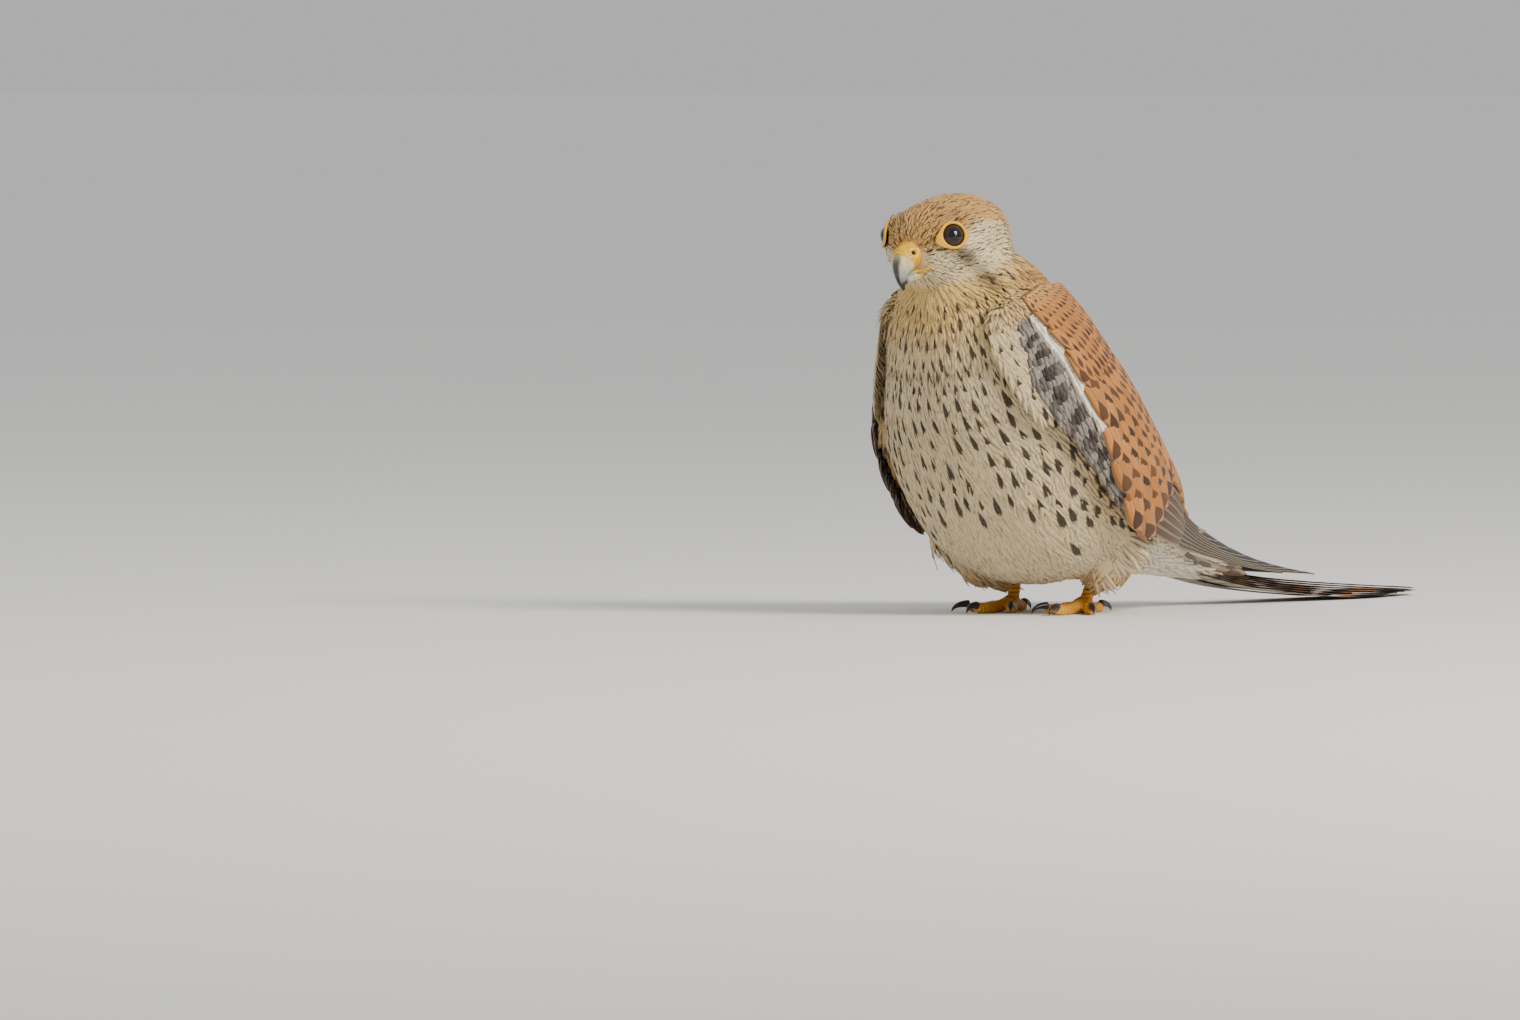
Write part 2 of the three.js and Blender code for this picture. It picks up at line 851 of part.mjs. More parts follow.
// Neck, torso and rump: one trunk parted by thin cuts across the spine
const NECK_CUT = 0.135;
const RUMP_CUT = 0.6;
const cutBefore = (t) => {
  const f = spineFrame(t);
  return halfSpace(
    f.middle.clone().addScaledVector(f.along, -GAP / 2),
    f.along.clone().negate(),
  );
};
const cutAfter = (t) => {
  const f = spineFrame(t);
  return halfSpace(
    f.middle.clone().addScaledVector(f.along, GAP / 2),
    f.along,
  );
};
const clearOfBill = (solid) =>
  solid.subtract(upperBill(0, 1, GAP)).subtract(lowerBill(GAP));
add(
  "neck",
  clearOfBill(trunkWhole.intersect(cutBefore(NECK_CUT)).subtract(headGrown)),
  crownFinish,
);
add(
  "torso",
  trunkWhole
    .intersect(cutAfter(NECK_CUT))
    .intersect(cutBefore(RUMP_CUT))
    .subtract(headGrown),
  breastFinish,
);
add(
  "rump",
  trunkWhole.intersect(cutAfter(RUMP_CUT)).subtract(tailBlock(GAP)),
  finish("rump"),
);
add("tail_feathers", tailFeathers().intersect(ground), finish("tail"));

for (const [name, side] of sides) {
  const wing = joined([wingCore(side), ...wingVanes(side)]);
  const clear = wing
    .subtract(trunkGrown)
    .subtract(headGrown)
    .subtract(tailBlock(GAP));
  add("wing_" + name, clear, finish("wing"));
}

for (const [name, side] of sides) {
  const leg = tarsus(side);
  add(
    "thigh_" + name,
    thigh(side)
      .subtract(trunkGrown)
      .subtract(tarsus(side, GAP))
      .subtract(wingBlock(side)),
    finish("thigh"),
  );
  let foot = TOES.reduce(
    (sum, size) => sum.add(toe(side, size)),
    ball(footAt(side).setZ(2.8), 3.4, 10),
  ).intersect(ground);
  for (const size of TOES) {
    const nail = claw(side, size).intersect(ground);
    const way = toeWay(side, size[2]);
    const tip = footAt(side).setZ(2.3).addScaledVector(way, size[1] + 0.6);
    add(
      "claw_" + name + "_" + size[0],
      nail.intersect(halfSpace(tip.clone().addScaledVector(way, 0.15), way)),
      hornFinish,
    );
    foot = foot.subtract(
      nail.add(halfSpace(tip.clone().addScaledVector(way, -0.15), way)),
    );
  }
  add("foot_" + name, foot, skinFinish);
  add(
    "tarsus_" + name,
    leg
      .subtract(
        ball(footAt(side).setZ(2.8), 3.4 + GAP, 12),
      )
      .subtract(trunkGrown)
      .intersect(
        halfSpace(
          vec(footAt(side).x, footAt(side).y, TOE_BASE_HEIGHT + 1.4),
          vec(0, 0, 1),
        ),
      ),
    skinFinish,
  );
}

export default bird;
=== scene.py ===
"""A life-size common kestrel, standing, in metres, with the bird facing -Y and its left side to +X.

The shapes are worked out in millimetres on the same spine, head and wing tables as the solids.
One skin lies under the plumage, and every feather is a thin closed vane.
"""

import bpy
import numpy as np
from mathutils import Matrix


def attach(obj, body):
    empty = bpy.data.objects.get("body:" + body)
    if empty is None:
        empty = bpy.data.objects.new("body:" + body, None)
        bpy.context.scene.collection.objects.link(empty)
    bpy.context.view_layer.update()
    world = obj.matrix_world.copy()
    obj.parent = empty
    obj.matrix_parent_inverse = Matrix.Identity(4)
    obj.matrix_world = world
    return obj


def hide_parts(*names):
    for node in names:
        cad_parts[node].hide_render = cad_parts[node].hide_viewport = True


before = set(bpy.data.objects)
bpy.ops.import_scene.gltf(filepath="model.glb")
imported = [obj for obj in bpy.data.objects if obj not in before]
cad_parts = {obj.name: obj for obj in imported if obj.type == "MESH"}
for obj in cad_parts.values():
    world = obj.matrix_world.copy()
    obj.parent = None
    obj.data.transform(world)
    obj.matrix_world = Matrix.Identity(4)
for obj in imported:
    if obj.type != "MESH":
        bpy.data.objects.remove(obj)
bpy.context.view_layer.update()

# The body skin. On the bird this is the soft skin over the muscles, from which all the small
# feathers grow. It is one closed surface: trunk, head, brows, thighs and the arms of the wings
# are worked out from their tables, fused by a voxel remesh and smoothed.
MM = 0.001
FEET = np.array([-0.4, -59.0, 0.0])  # midway between the feet
# x, y, z, half width, half height to the back, half height to the belly
SPINE = np.array(
    [
        [-7.5, -66, 141, 14, 13, 13],
        [-5.5, -58, 121, 27, 27.5, 24],
        [-3, -49, 101, 38.5, 32, 34],
        [-1, -40, 82, 46, 34, 39.5],
        [0, -28, 64, 48.5, 34, 42],
        [1, -12, 48, 47, 32, 41],
        [2.5, 8, 37, 41, 27, 29],
        [5, 28, 29, 31, 20, 19],
        [9, 48, 23, 22, 13, 12.5],
        [14, 70, 17.5, 16, 8, 8.5],
        [22, 104, 10.5, 15, 5, 5],
        [32, 148, 6, 15, 4, 4],
        [46, 212, 1.8, 15, 3, 3],
    ],
    float,
)
TRUNK_END = 0.79
HEAD_CENTRE = np.array([-9.2, -68.4, 138.2]) + FEET
HEAD_YAW = np.radians(-9)
HEAD_PITCH = np.radians(22)
# forward, height of the middle, half width, half height up, half height down
HEAD_RINGS = np.array(
    [
        [-27.5, -5.5, 3, 3, 4],
        [-26, -5, 9.5, 9.5, 11],
        [-21.5, -4, 16.5, 14.5, 18],
        [-13, -3, 20.6, 17.2, 22],
        [-3, -1.5, 21, 17.3, 21.5],
        [5, -0.8, 19.8, 16.6, 20],
        [12, 0, 16.8, 14, 15.5],
        [17, 0.3, 11.8, 10.5, 11],
        [20, 0.8, 7, 6, 6.5],
    ]
)
# place on the spine, half width, half height, degrees from the belly at the lower and the
# upper edge, thickness
WING = np.array(
    [
        [0.09, 33, 29, 62, 104, 3],
        [0.13, 39, 32, 56, 144, 6],
        [0.2, 47, 36, 58, 160, 8],
        [0.28, 52, 38, 62, 166, 8],
        [0.36, 54, 38.5, 66, 168, 8],
        [0.44, 52.5, 37.5, 71, 168, 7],
        [0.52, 47.5, 33.5, 77, 168, 6],
        [0.6, 38, 26.5, 84, 168, 5],
        [0.68, 29, 19.5, 91, 168, 4.5],
        [0.76, 22, 13.5, 100, 167, 4],
        [0.82, 18, 10, 113, 166, 3.5],
        [0.87, 15.5, 8, 128, 164, 3],
        [0.91, 14, 7, 138, 160, 2.2],
    ]
)
COAT_DEPTH = 2.2  # how far the skin lies inside the solids
SKIN_VOXEL = 1.5


def unit(v):
    """Each vector divided by its own length."""
    return v / np.maximum(np.linalg.norm(v, axis=-1, keepdims=True), 1e-9)


def along_table(table, t):
    """A cubic through the rows of a table, t from 0 to 1: each row's slope is half the step
    between the rows on its two sides."""
    at = np.clip(t, 0, 1) * (len(table) - 1)
    i = np.minimum(at.astype(int), len(table) - 2)
    f = (at - i)[..., None]
    padded = np.vstack([table[:1], table, table[-1:]])
    a, b, c, d = (padded[i + k] for k in range(4))
    return (
        (2 * f**3 - 3 * f**2 + 1) * b
        + (f**3 - 2 * f**2 + f) * (c - a) / 2
        + (-2 * f**3 + 3 * f**2) * c
        + (f**3 - f**2) * (d - b) / 2
    )


def spine_frame(t):
    """The spine's middle, its way to the tail, to the left and to the back, and the three half
    sizes. Left is the way to the tail crossed with up; back is left crossed with that way."""
    t = np.asarray(t, float)
    row = along_table(SPINE, t)
    way = unit(along_table(SPINE, t + 0.01)[..., :3] - along_table(SPINE, t - 0.01)[..., :3])
    left = unit(np.cross(way, [0.0, 0.0, 1.0]))
    back = np.cross(left, way)
    return row[..., :3] + FEET, way, left, back, row[..., 3:]


def round_spine(t, turn, width, high, low):
    """A point round the spine: width times the sine of turn to the left, and the half height
    times the cosine to the belly. turn is 0 at the belly and pi at the back."""
    middle, _, left, back, _ = spine_frame(t)
    sin, cos = np.sin(turn), np.cos(turn)
    reach = np.where(cos < 0, high, low)
    return middle + left * (width * sin)[..., None] - back * (reach * cos)[..., None]


def trunk_point(t, turn, grow=0.0):
    """A point of the trunk, its half sizes taken from the spine's table plus grow."""
    t, turn = np.broadcast_arrays(np.asarray(t, float), np.asarray(turn, float))
    size = along_table(SPINE, t)[..., 3:] + grow
    return round_spine(t, turn, size[..., 0], size[..., 1], size[..., 2])


def turned(yaw, pitch):
    """The head's axes as rows: to the left, forward and up, after its pitch and its yaw."""
    cy, sy, cp, sp = np.cos(yaw), np.sin(yaw), np.cos(pitch), np.sin(pitch)
    about_z = np.array([[cy, -sy, 0], [sy, cy, 0], [0, 0, 1]])
    about_x = np.array([[1, 0, 0], [0, cp, -sp], [0, sp, cp]])
    return (about_z @ about_x @ np.diag([1.0, -1.0, 1.0])).T


HEAD_AXES = turned(HEAD_YAW, HEAD_PITCH)


def from_head(p):
    """A point given to the left, forward and up of the head's middle, in the bird's frame."""
    return HEAD_CENTRE + np.asarray(p, float) @ HEAD_AXES


def head_point(s, turn, grow=0.0):
    """A point of the head: s runs from the nape to the face, turn from the chin (0) over the
    left cheek to the crown (pi). Each ring is an ellipse with its own half heights."""
    s, turn = np.broadcast_arrays(np.asarray(s, float), np.asarray(turn, float))
    row = along_table(HEAD_RINGS, s)
    sin, cos = np.sin(turn), np.cos(turn)
    reach = np.where(cos < 0, row[..., 3], row[..., 4]) + grow
    local = np.stack(
        [
            (row[..., 2] + grow) * sin,
            row[..., 0] + grow * (2 * s - 1),
            row[..., 1] - reach * cos,
        ],
        -1,
    )
    return from_head(local)


def wing_place(side, w, v, rise=0.0):
    """A point of the folded wing's face, the way out of it and the way to its tip: w runs from
    the wrist to the tip, v from the lower edge to the upper one, and side is 1 for the left."""
    w, v = np.broadcast_arrays(np.asarray(w, float), np.asarray(v, float))
    row = along_table(WING, w)
    t, width, high = row[..., 0], row[..., 1], row[..., 2]
    turn = np.radians(row[..., 3] + (row[..., 4] - row[..., 3]) * v)
    middle, way, left, back, _ = spine_frame(t)
    sin, cos = np.sin(turn), np.cos(turn)
    reach = np.where(cos < 0, high, high * 1.1)
    point = middle + side * left * (width * sin)[..., None] - back * (reach * cos)[..., None]
    out = unit(side * left * (sin / width)[..., None] - back * (cos / reach)[..., None])
    return point + out * np.asarray(rise)[..., None], out, way


def tube_rings(path, radii, sides, up=(0.0, 0.0, 1.0)):
    """Circles of the given radii across a path, each square to the step between its neighbours."""
    path = np.asarray(path, float)
    step = unit(np.gradient(path, axis=0))
    across = unit(np.cross(step, np.asarray(up, float)))
    high = np.cross(across, step)
    turn = np.linspace(0, 2 * np.pi, sides, endpoint=False)[None, :, None]
    radii = np.asarray(radii, float)[:, None, None]
    return path[:, None] + radii * (across[:, None] * np.cos(turn) + high[:, None] * np.sin(turn))


def tube_faces(rings):
    """The points and faces of a skin over rings, closed by a fan round the middle of each end."""
    n, m = rings.shape[:2]
    points = np.vstack([rings.reshape(-1, 3), rings[0].mean(0), rings[-1].mean(0)])
    i, j = np.meshgrid(np.arange(n - 1) * m, np.arange(m), indexing="ij")
    k = (j + 1) % m
    quads = np.stack([i + j, i + k, i + m + k, i + m + j], -1).reshape(-1, 4)
    j = np.arange(m)
    k = (j + 1) % m
    ends = np.concatenate(
        [
            np.stack([np.full(m, n * m), k, j], -1),
            np.stack([np.full(m, n * m + 1), (n - 1) * m + j, (n - 1) * m + k], -1),
        ]
    )
    return points, quads.tolist() + ends.tolist()


def object_of(name, points, faces, smooth=True):
    """A mesh object from points in millimetres, with its faces turned outwards."""
    mesh = bpy.data.meshes.new(name)
    mesh.from_pydata((np.asarray(points) * MM).tolist(), [], faces)
    mesh.update()
    obj = bpy.data.objects.new(name, mesh)
    bpy.context.scene.collection.objects.link(obj)
    if smooth:
        mesh.shade_smooth()
    return obj


def mesh_points(obj):
    """The corners of an object's mesh, one row each, in metres."""
    points = np.empty(len(obj.data.vertices) * 3)
    obj.data.vertices.foreach_get("co", points)
    return points.reshape(-1, 3)


def signed_volume(points, faces):
    """The volume inside closed faces: the sum over them of point . (point x point) / 6."""
    triangles = np.array([[f[0], f[i], f[i + 1]] for f in faces for i in range(1, len(f) - 1)])
    a, b, c = (points[triangles[:, k]] for k in range(3))
    return np.einsum("ij,ij->", a, np.cross(b, c)) / 6


def tube_object(name, rings):
    """A closed tube as an object, its faces reversed if they enclose a negative volume."""
    points, faces = tube_faces(rings)
    if signed_volume(points - points.mean(0), faces) < 0:
        faces = [f[::-1] for f in faces]
    return object_of(name, points, faces)


def applied(obj):
    """The object with its modifiers made part of its mesh."""
    bpy.context.view_layer.update()
    shown = obj.evaluated_get(bpy.context.evaluated_depsgraph_get())
    mesh = bpy.data.meshes.new_from_object(shown)
    old = obj.data
    obj.modifiers.clear()
    obj.data = mesh
    bpy.data.meshes.remove(old)
    return obj


def fused(name, parts, voxel, rounds):
    """One surface round all of the parts: they are joined, voxel remeshed and smoothed."""
    mesh = bpy.data.meshes.new(name)
    points, faces, count = [], [], 0
    for part in parts:
        points.append(mesh_points(part))
        faces += [[v + count for v in face.vertices] for face in part.data.polygons]
        count += len(points[-1])
        bpy.data.objects.remove(part)
    mesh.from_pydata(np.vstack(points).tolist(), [], faces)
    obj = bpy.data.objects.new(name, mesh)
    bpy.context.scene.collection.objects.link(obj)
    remesh = obj.modifiers.new("Fuse", "REMESH")
    remesh.mode = "VOXEL"
    remesh.voxel_size = voxel * MM
    smooth = obj.modifiers.new("Smooth", "SMOOTH")
    smooth.factor = 0.5
    smooth.iterations = rounds
    applied(obj)
    obj.data.shade_smooth()
    return obj


def wing_arm(side):
    """The fleshy part of a wing as a tube of flat rings: along its face and back underneath."""
    w = np.linspace(0, 0.8, 34)[:, None]
    share = np.linspace(0.02, 1, 22)[None, :]
    v = share * np.interp(w, [0.48, 0.6], [1, 0.7])
    edge = np.sqrt(np.clip(1 - (2 * share - 1) ** 6, 0.02, 1))
    face = wing_place(side, w, v, edge - 1 - COAT_DEPTH)[0]
    thick = along_table(WING, w[:, 0])[:, 5][:, None]
    under = wing_place(side, w, v, -COAT_DEPTH - 0.8 - np.maximum(1.8, thick * edge))[0]
    return np.concatenate([face, under[:, ::-1]], 1)


def thigh_path(side):
    """The middle line of a thigh, from the hip to the ankle, and its radii."""
    path = np.array([[29, -6, 46], [30, -6, 31], [24.5, -2, 18.5], [17.5, 2, 9.5]], float)
    path[:, 0] *= side
    return path + FEET, np.array([15, 17, 13, 5.0])


def brow_path(side):
    """The middle line of the ridge over an eye."""
    path = np.array(
        [[8.7, 14.5, 9.2], [11.2, 12, 10.8], [13, 8, 11.6], [14.4, 3, 11.5], [15.2, -3, 10.4]]
    )
    return from_head(path * [0.96 * side, 0.97, 0.93])


def ring_grid(count, around):
    """Two open grids, from 0 to 1 down the rings and from 0 to 2 pi round them."""
    turn = np.linspace(0, 2 * np.pi, around, endpoint=False)
    return np.linspace(0, 1, count)[:, None], turn[None, :]


s, turn = ring_grid(60, 64)
skin_parts = [tube_object("trunk", trunk_point(s * TRUNK_END, turn, -COAT_DEPTH))]
skin_parts.append(tube_object("skull", head_point(s, turn, -1.2)))
for side in (1, -1):
    path, radii = thigh_path(side)
    skin_parts.append(tube_object("thigh", tube_rings(path, radii - COAT_DEPTH, 28, (0, 1, 0))))
    skin_parts.append(tube_object("arm", wing_arm(side)))
    skin_parts.append(tube_object("brow", tube_rings(brow_path(side), [0.5, 1, 1.3, 1.1, 0.5], 12)))
skin = fused("body_skin", skin_parts, SKIN_VOXEL, 7)
skin_points = mesh_points(skin) / MM
skin_out = np.empty(len(skin.data.vertices) * 3)
skin.data.vertex_normals.foreach_get("vector", skin_out)
skin_out = skin_out.reshape(-1, 3)


def on_skin(points):
    """The nearest corner of the skin to each point: the point moved onto the skin's tangent plane
    there, the way out of it, and how far away that corner is."""
    near = np.empty(len(points), int)
    square = (skin_points**2).sum(1)
    for i in range(0, len(points), 2000):
        part = points[i : i + 2000]
        near[i : i + 2000] = np.argmin(square[None] - 2 * part @ skin_points.T, 1)
    out = skin_out[near]
    away = points - skin_points[near]
    flat = points - out * np.einsum("ij,ij->i", away, out)[:, None]
    return flat, out, np.linalg.norm(away, axis=1)


# The colours of the skin, which the plumage over it shares. A kestrel's feathers hold brown and
# black pigment: cream below, buff on the head and chestnut above. The colour of a place is
# blended from a few tones, one of which, brow, is a painted shadow of the ridge over the eye.
def linear(colour):
    """A colour written as six hex digits, as the linear values that the shader works with."""
    value = np.array([int(colour[i : i + 2], 16) for i in (1, 3, 5)]) / 255
    return np.where(value <= 0.04045, value / 12.92, ((value + 0.055) / 1.055) ** 2.4)


TONES = {
    "crown": linear("#cc9850"),
    "forehead": linear("#c99f60"),
    "cheek": linear("#e9d5a8"),
    "ear": linear("#c6ae84"),
    "throat": linear("#deb870"),
    "moustache": linear("#4d3c2b"),
    # painted shadow: a dark line over the eye, where the brow ridge shades it
    "brow": linear("#75624b"),
    "nape": linear("#d6a763"),
    "breast": linear("#d8c298"),
    "belly": linear("#e5d2ac"),
    "vent": linear("#f3ead4"),
    "flank": linear("#d9a95f"),
    "mantle": linear("#b3703a"),
    "rump": linear("#a58a6a"),
}


def ease(low, high, x):
    """A smooth step: 0 below low, 1 above high and three x squared less two x cubed between."""
    x = np.clip((x - low) / (high - low), 0, 1)
    return x * x * (3 - 2 * x)


def blended(first, second, share):
    """The first colours mixed towards the second by share."""
    return first + (second - first) * np.asarray(share)[..., None]


def trunk_tone(t, turn):
    """The colour of a place on the trunk: throat, breast, belly and vent down the front, flanks
    at the sides, nape and mantle over the back."""
    aside = np.abs((turn + np.pi) % (2 * np.pi) - np.pi)
    tone = blended(TONES["throat"], TONES["breast"], ease(0.05, 0.14, t))
    tone = blended(tone, TONES["flank"], ease(0.9, 1.4, aside) * ease(0.15, 0.3, t))
    tone = blended(tone, TONES["belly"], ease(0.34, 0.5, t))
    tone = blended(tone, TONES["vent"], ease(0.5, 0.62, t))
    tone = blended(tone, TONES["nape"], ease(1.2, 1.9, aside) * (1 - ease(0.12, 0.2, t)))
    back = ease(1.75, 2.2, aside) * ease(0.07, 0.13, t)
    tone = blended(tone, TONES["mantle"], back)
    return blended(tone, TONES["rump"], ease(1.6, 2.0, aside) * ease(0.55, 0.65, t))


def spot(points, centre, size):
    """How near points are to a centre: a bell that falls off over size."""
    return np.exp(-(((points - np.asarray(centre, float)) / np.asarray(size, float)) ** 2).sum(-1))


def head_tone(points):
    """The colour of a place on the head, from its place to the left, forward and up."""
    local = (points - HEAD_CENTRE) @ HEAD_AXES.T
    local[:, 0] = np.abs(local[:, 0])
    up = local[:, 2]
    behind = np.maximum(-local[:, 1] - 2, 0)
    edge = up + 0.18 * np.maximum(local[:, 1], 0) + 0.45 * behind
    tone = blended(TONES["cheek"], TONES["crown"], ease(4, 9, edge))
    tone = blended(tone, TONES["forehead"], 0.7 * ease(9, 16, local[:, 1]) * ease(4, 9, up))
    tone = blended(tone, TONES["ear"], 0.75 * spot(local, (19, -4, 0), (8, 6, 6)))
    tone = blended(tone, TONES["nape"], ease(10, 20, -local[:, 1]))
    tone = blended(tone, TONES["throat"], ease(7, 12, -up))
    # painted shadow: the brow tone darkens a thin band over the eye
    tone = blended(tone, TONES["brow"], 0.75 * spot(local, (13.2, 9, 12.6), (3.5, 6, 1.5)))
    stripe = spot(local, (14.7, 12, 0.6), (4, 2.6, 3.2))
    stripe = stripe + spot(local, (16.2, 9.5, -3.7), (4, 2.6, 3.6))
    stripe = stripe + spot(local, (18.5, 6.5, -10.5), (5, 2.4, 4.6))
    return blended(tone, TONES["moustache"], 0.85 * np.clip(stripe, 0, 1))


def spine_place(points):
    """The places of points along the spine and their turns round it from the belly."""
    t = np.linspace(0, TRUNK_END, 160)
    middle, _, left, back, _ = spine_frame(t)
    parts = np.array_split(points, 20)
    near = np.concatenate([((a[:, None] - middle) ** 2).sum(-1).argmin(1) for a in parts])
    away = points - middle[near]
    return t[near], np.arctan2((away * left[near]).sum(1), -(away * back[near]).sum(1))


def skin_tone(points):
    """The colour of the skin's corners: the head's tone near the head, else the trunk's."""
    tone = trunk_tone(*spine_place(points))
    share = 1 - ease(20, 30, np.linalg.norm(points - HEAD_CENTRE, axis=1))
    return blended(tone, head_tone(points), share)


def set_attribute(mesh, name, kind, domain, values):
    """Stores one value for each point or face of a mesh under a name."""
    made = mesh.attributes.new(name, kind, domain)
    key = {"FLOAT_COLOR": "color", "FLOAT_VECTOR": "vector"}.get(kind, "value")
    made.data.foreach_set(key, np.ravel(values))


def with_alpha(tone):
    """Colours with a fourth value of 1."""
    return np.concatenate([tone, np.ones((*tone.shape[:-1], 1))], -1)


set_attribute(skin.data, "tint", "FLOAT_COLOR", "POINT", with_alpha(skin_tone(skin_points)))


def node(tree, kind, inputs=None, **settings):
    """A shader node with its settings, and its inputs linked or set by name."""
    made = tree.nodes.new(kind)
    for key, value in settings.items():
        setattr(made, key, value)
    for key, value in (inputs or {}).items():
        socket = made.inputs[key]
        if isinstance(value, bpy.types.NodeSocket):
            tree.links.new(value, socket)
        else:
            socket.default_value = value
    return made


def mixed(tree, share, first, second):
    """The output of a colour Mix node. Its inputs 6 and 7 are the colours, 0 the share."""
    made = node(tree, "ShaderNodeMix", {0: share, 6: first, 7: second}, data_type="RGBA")
    return made.outputs[2]


def multiplied(tree, share, first, second):
    """The output of a Mix node that mixes the first colour by share with its product with the
    second."""
    inputs = {0: share, 6: first, 7: second}
    made = node(tree, "ShaderNodeMix", inputs, data_type="RGBA", blend_type="MULTIPLY")
    return made.outputs[2]


def bumped(tree, shader, height, strength, distance):
    """Gives a shader a bump from a height of 0 to 1, which stands for distance in metres."""
    inputs = {"Height": height, "Strength": strength, "Distance": distance}
    made = node(tree, "ShaderNodeBump", inputs)
    tree.links.new(made.outputs[0], shader.inputs["Normal"])


def noise(tree, place, scale, detail=2.0):
    """Soft noise of a scale at a place."""
    inputs = {"Vector": place, "Scale": scale, "Detail": detail}
    return node(tree, "ShaderNodeTexNoise", inputs).outputs["Fac"]


def stored(tree, name, output="Fac"):
    """What the mesh stores under a name."""
    return node(tree, "ShaderNodeAttribute", attribute_name=name).outputs[output]


def new_material(name):
    """An empty material: its node tree and its Principled shader."""
    made = bpy.data.materials.new(name)
    made.use_nodes = True
    return made, made.node_tree, made.node_tree.nodes["Principled BSDF"]


def skin_material():
    """The skin under the feathers: the same tint as the plumage there, with fine pores."""
    made, tree, shader = new_material("under_plumage")
    tint = stored(tree, "tint", "Color")
    place = node(tree, "ShaderNodeTexCoord").outputs["Object"]
    fine = noise(tree, place, 900.0, 3.0)
    darker = multiplied(tree, 0.45, tint, (0.3, 0.25, 0.2, 1.0))
    tree.links.new(mixed(tree, fine, darker, tint), shader.inputs["Base Color"])
    bumped(tree, shader, fine, 0.4, 0.0003)
    shader.inputs["Roughness"].default_value = 0.85
    return made


skin.data.materials.append(skin_material())
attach(skin, "root")
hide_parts("head", "neck", "torso", "rump", "thigh_left", "thigh_right")


# The small feathers of head and body. Each is a closed vane of keratin, at most a third of a
# millimetre thick at its shaft and sharp at its edges, rooted in the skin and lying back over the
# next ones like tiles. They are sown over head and neck, and set in staggered rows elsewhere.
def maths(tree, operation, *values):
    """The output of a Math node of that operation on links or numbers."""
    return node(tree, "ShaderNodeMath", dict(enumerate(values)), operation=operation).outputs[0]


def stepped(tree, value, low, high, first=0.0, last=1.0):
    """The output of a Map Range node that eases from first to last as value goes low to high."""
    inputs = {"Value": value, "From Min": low, "From Max": high, "To Min": first, "To Max": last}
    made = node(tree, "ShaderNodeMapRange", inputs, interpolation_type="SMOOTHSTEP")
    return made.outputs[0]


def rgba(colour):
    """A hex colour as a shader socket's four numbers."""
    return (*linear(colour), 1.0)


def new_group(name, inputs, outputs):
    """An empty shader node group with named number inputs and their values, and outputs."""
    tree = bpy.data.node_groups.new(name, "ShaderNodeTree")
    for label, value in inputs.items():
        socket = tree.interface.new_socket(label, in_out="INPUT", socket_type="NodeSocketFloat")
        socket.default_value = value
    for label in outputs:
        tree.interface.new_socket(label, in_out="OUTPUT", socket_type="NodeSocketFloat")
    return tree, tree.nodes.new("NodeGroupInput"), tree.nodes.new("NodeGroupOutput")


def vane_place(tree):
    """The place on a feather, from its own map: the distance from the shaft, 0 to 0.5, and the
    share of its length from root to tip, and across it from 0 to 1."""
    made = node(tree, "ShaderNodeUVMap", uv_map="Vane").outputs[0]
    split = node(tree, "ShaderNodeSeparateXYZ", {0: made})
    aside = maths(tree, "ABSOLUTE", maths(tree, "SUBTRACT", split.outputs[0], 0.5))
    return aside, split.outputs[1], split.outputs[0]


def feather_mark_group():
    """A mark on the shaft: it widens from Start to Peak and narrows to End along the feather, up
    to Width each side, and its place is pushed back by Chevron times the distance aside."""
    inputs = {"Start": 0.3, "Peak": 0.8, "End": 0.95, "Width": 0.25, "Chevron": 0.0}
    tree, given, result = new_group("feather_mark", inputs, ["Mask"])
    aside, along, _ = vane_place(tree)
    shift = maths(tree, "MULTIPLY", aside, given.outputs["Chevron"])
    along = maths(tree, "ADD", along, shift)
    rise = stepped(tree, along, given.outputs["Start"], given.outputs["Peak"])
    fall = stepped(tree, along, given.outputs["Peak"], given.outputs["End"], 1.0, 0.0)
    half = maths(tree, "MULTIPLY", maths(tree, "MINIMUM", rise, fall), given.outputs["Width"])
    inside = maths(tree, "SUBTRACT", half, aside)
    tree.links.new(stepped(tree, inside, -0.03, 0.03), result.inputs["Mask"])
    return tree


def barbs_group():
    """The fine lines of a vane: Strands soft streaks that run along it, mixed with Barbs fine
    ridges that slant out from the shaft. Height is for the bump, Shade for the colour."""
    inputs = {"Strands": 9.0, "Barbs": 40.0, "Slant": 1.6, "Softness": 0.6}
    tree, given, result = new_group("barbs", inputs, ["Height", "Shade"])
    aside, along, across = vane_place(tree)
    draw = stored(tree, "draw")
    place = node(
        tree,
        "ShaderNodeCombineXYZ",
        {
            0: maths(tree, "MULTIPLY", across, given.outputs["Strands"]),
            1: maths(tree, "MULTIPLY", along, 1.3),
            2: maths(tree, "MULTIPLY", draw, 50.0),
        },
    )
    streak = noise(tree, place.outputs[0], 1.0)
    slanted = maths(tree, "SUBTRACT", along, maths(tree, "MULTIPLY", aside, given.outputs["Slant"]))
    phase = maths(tree, "MULTIPLY", slanted, given.outputs["Barbs"])
    ridge = maths(tree, "MULTIPLY", maths(tree, "SINE", maths(tree, "MULTIPLY", phase, 6.283)), 0.5)
    share = given.outputs["Softness"]
    rest = maths(tree, "SUBTRACT", 1.0, share)
    soft = maths(tree, "MULTIPLY", streak, share)
    ridge = maths(tree, "MULTIPLY", ridge, maths(tree, "MULTIPLY", rest, 0.5))
    tree.links.new(maths(tree, "ADD", soft, ridge), result.inputs["Height"])
    tree.links.new(stepped(tree, streak, 0.3, 0.7), result.inputs["Shade"])
    return tree


FEATHER_MARK = feather_mark_group()
BARBS = barbs_group()


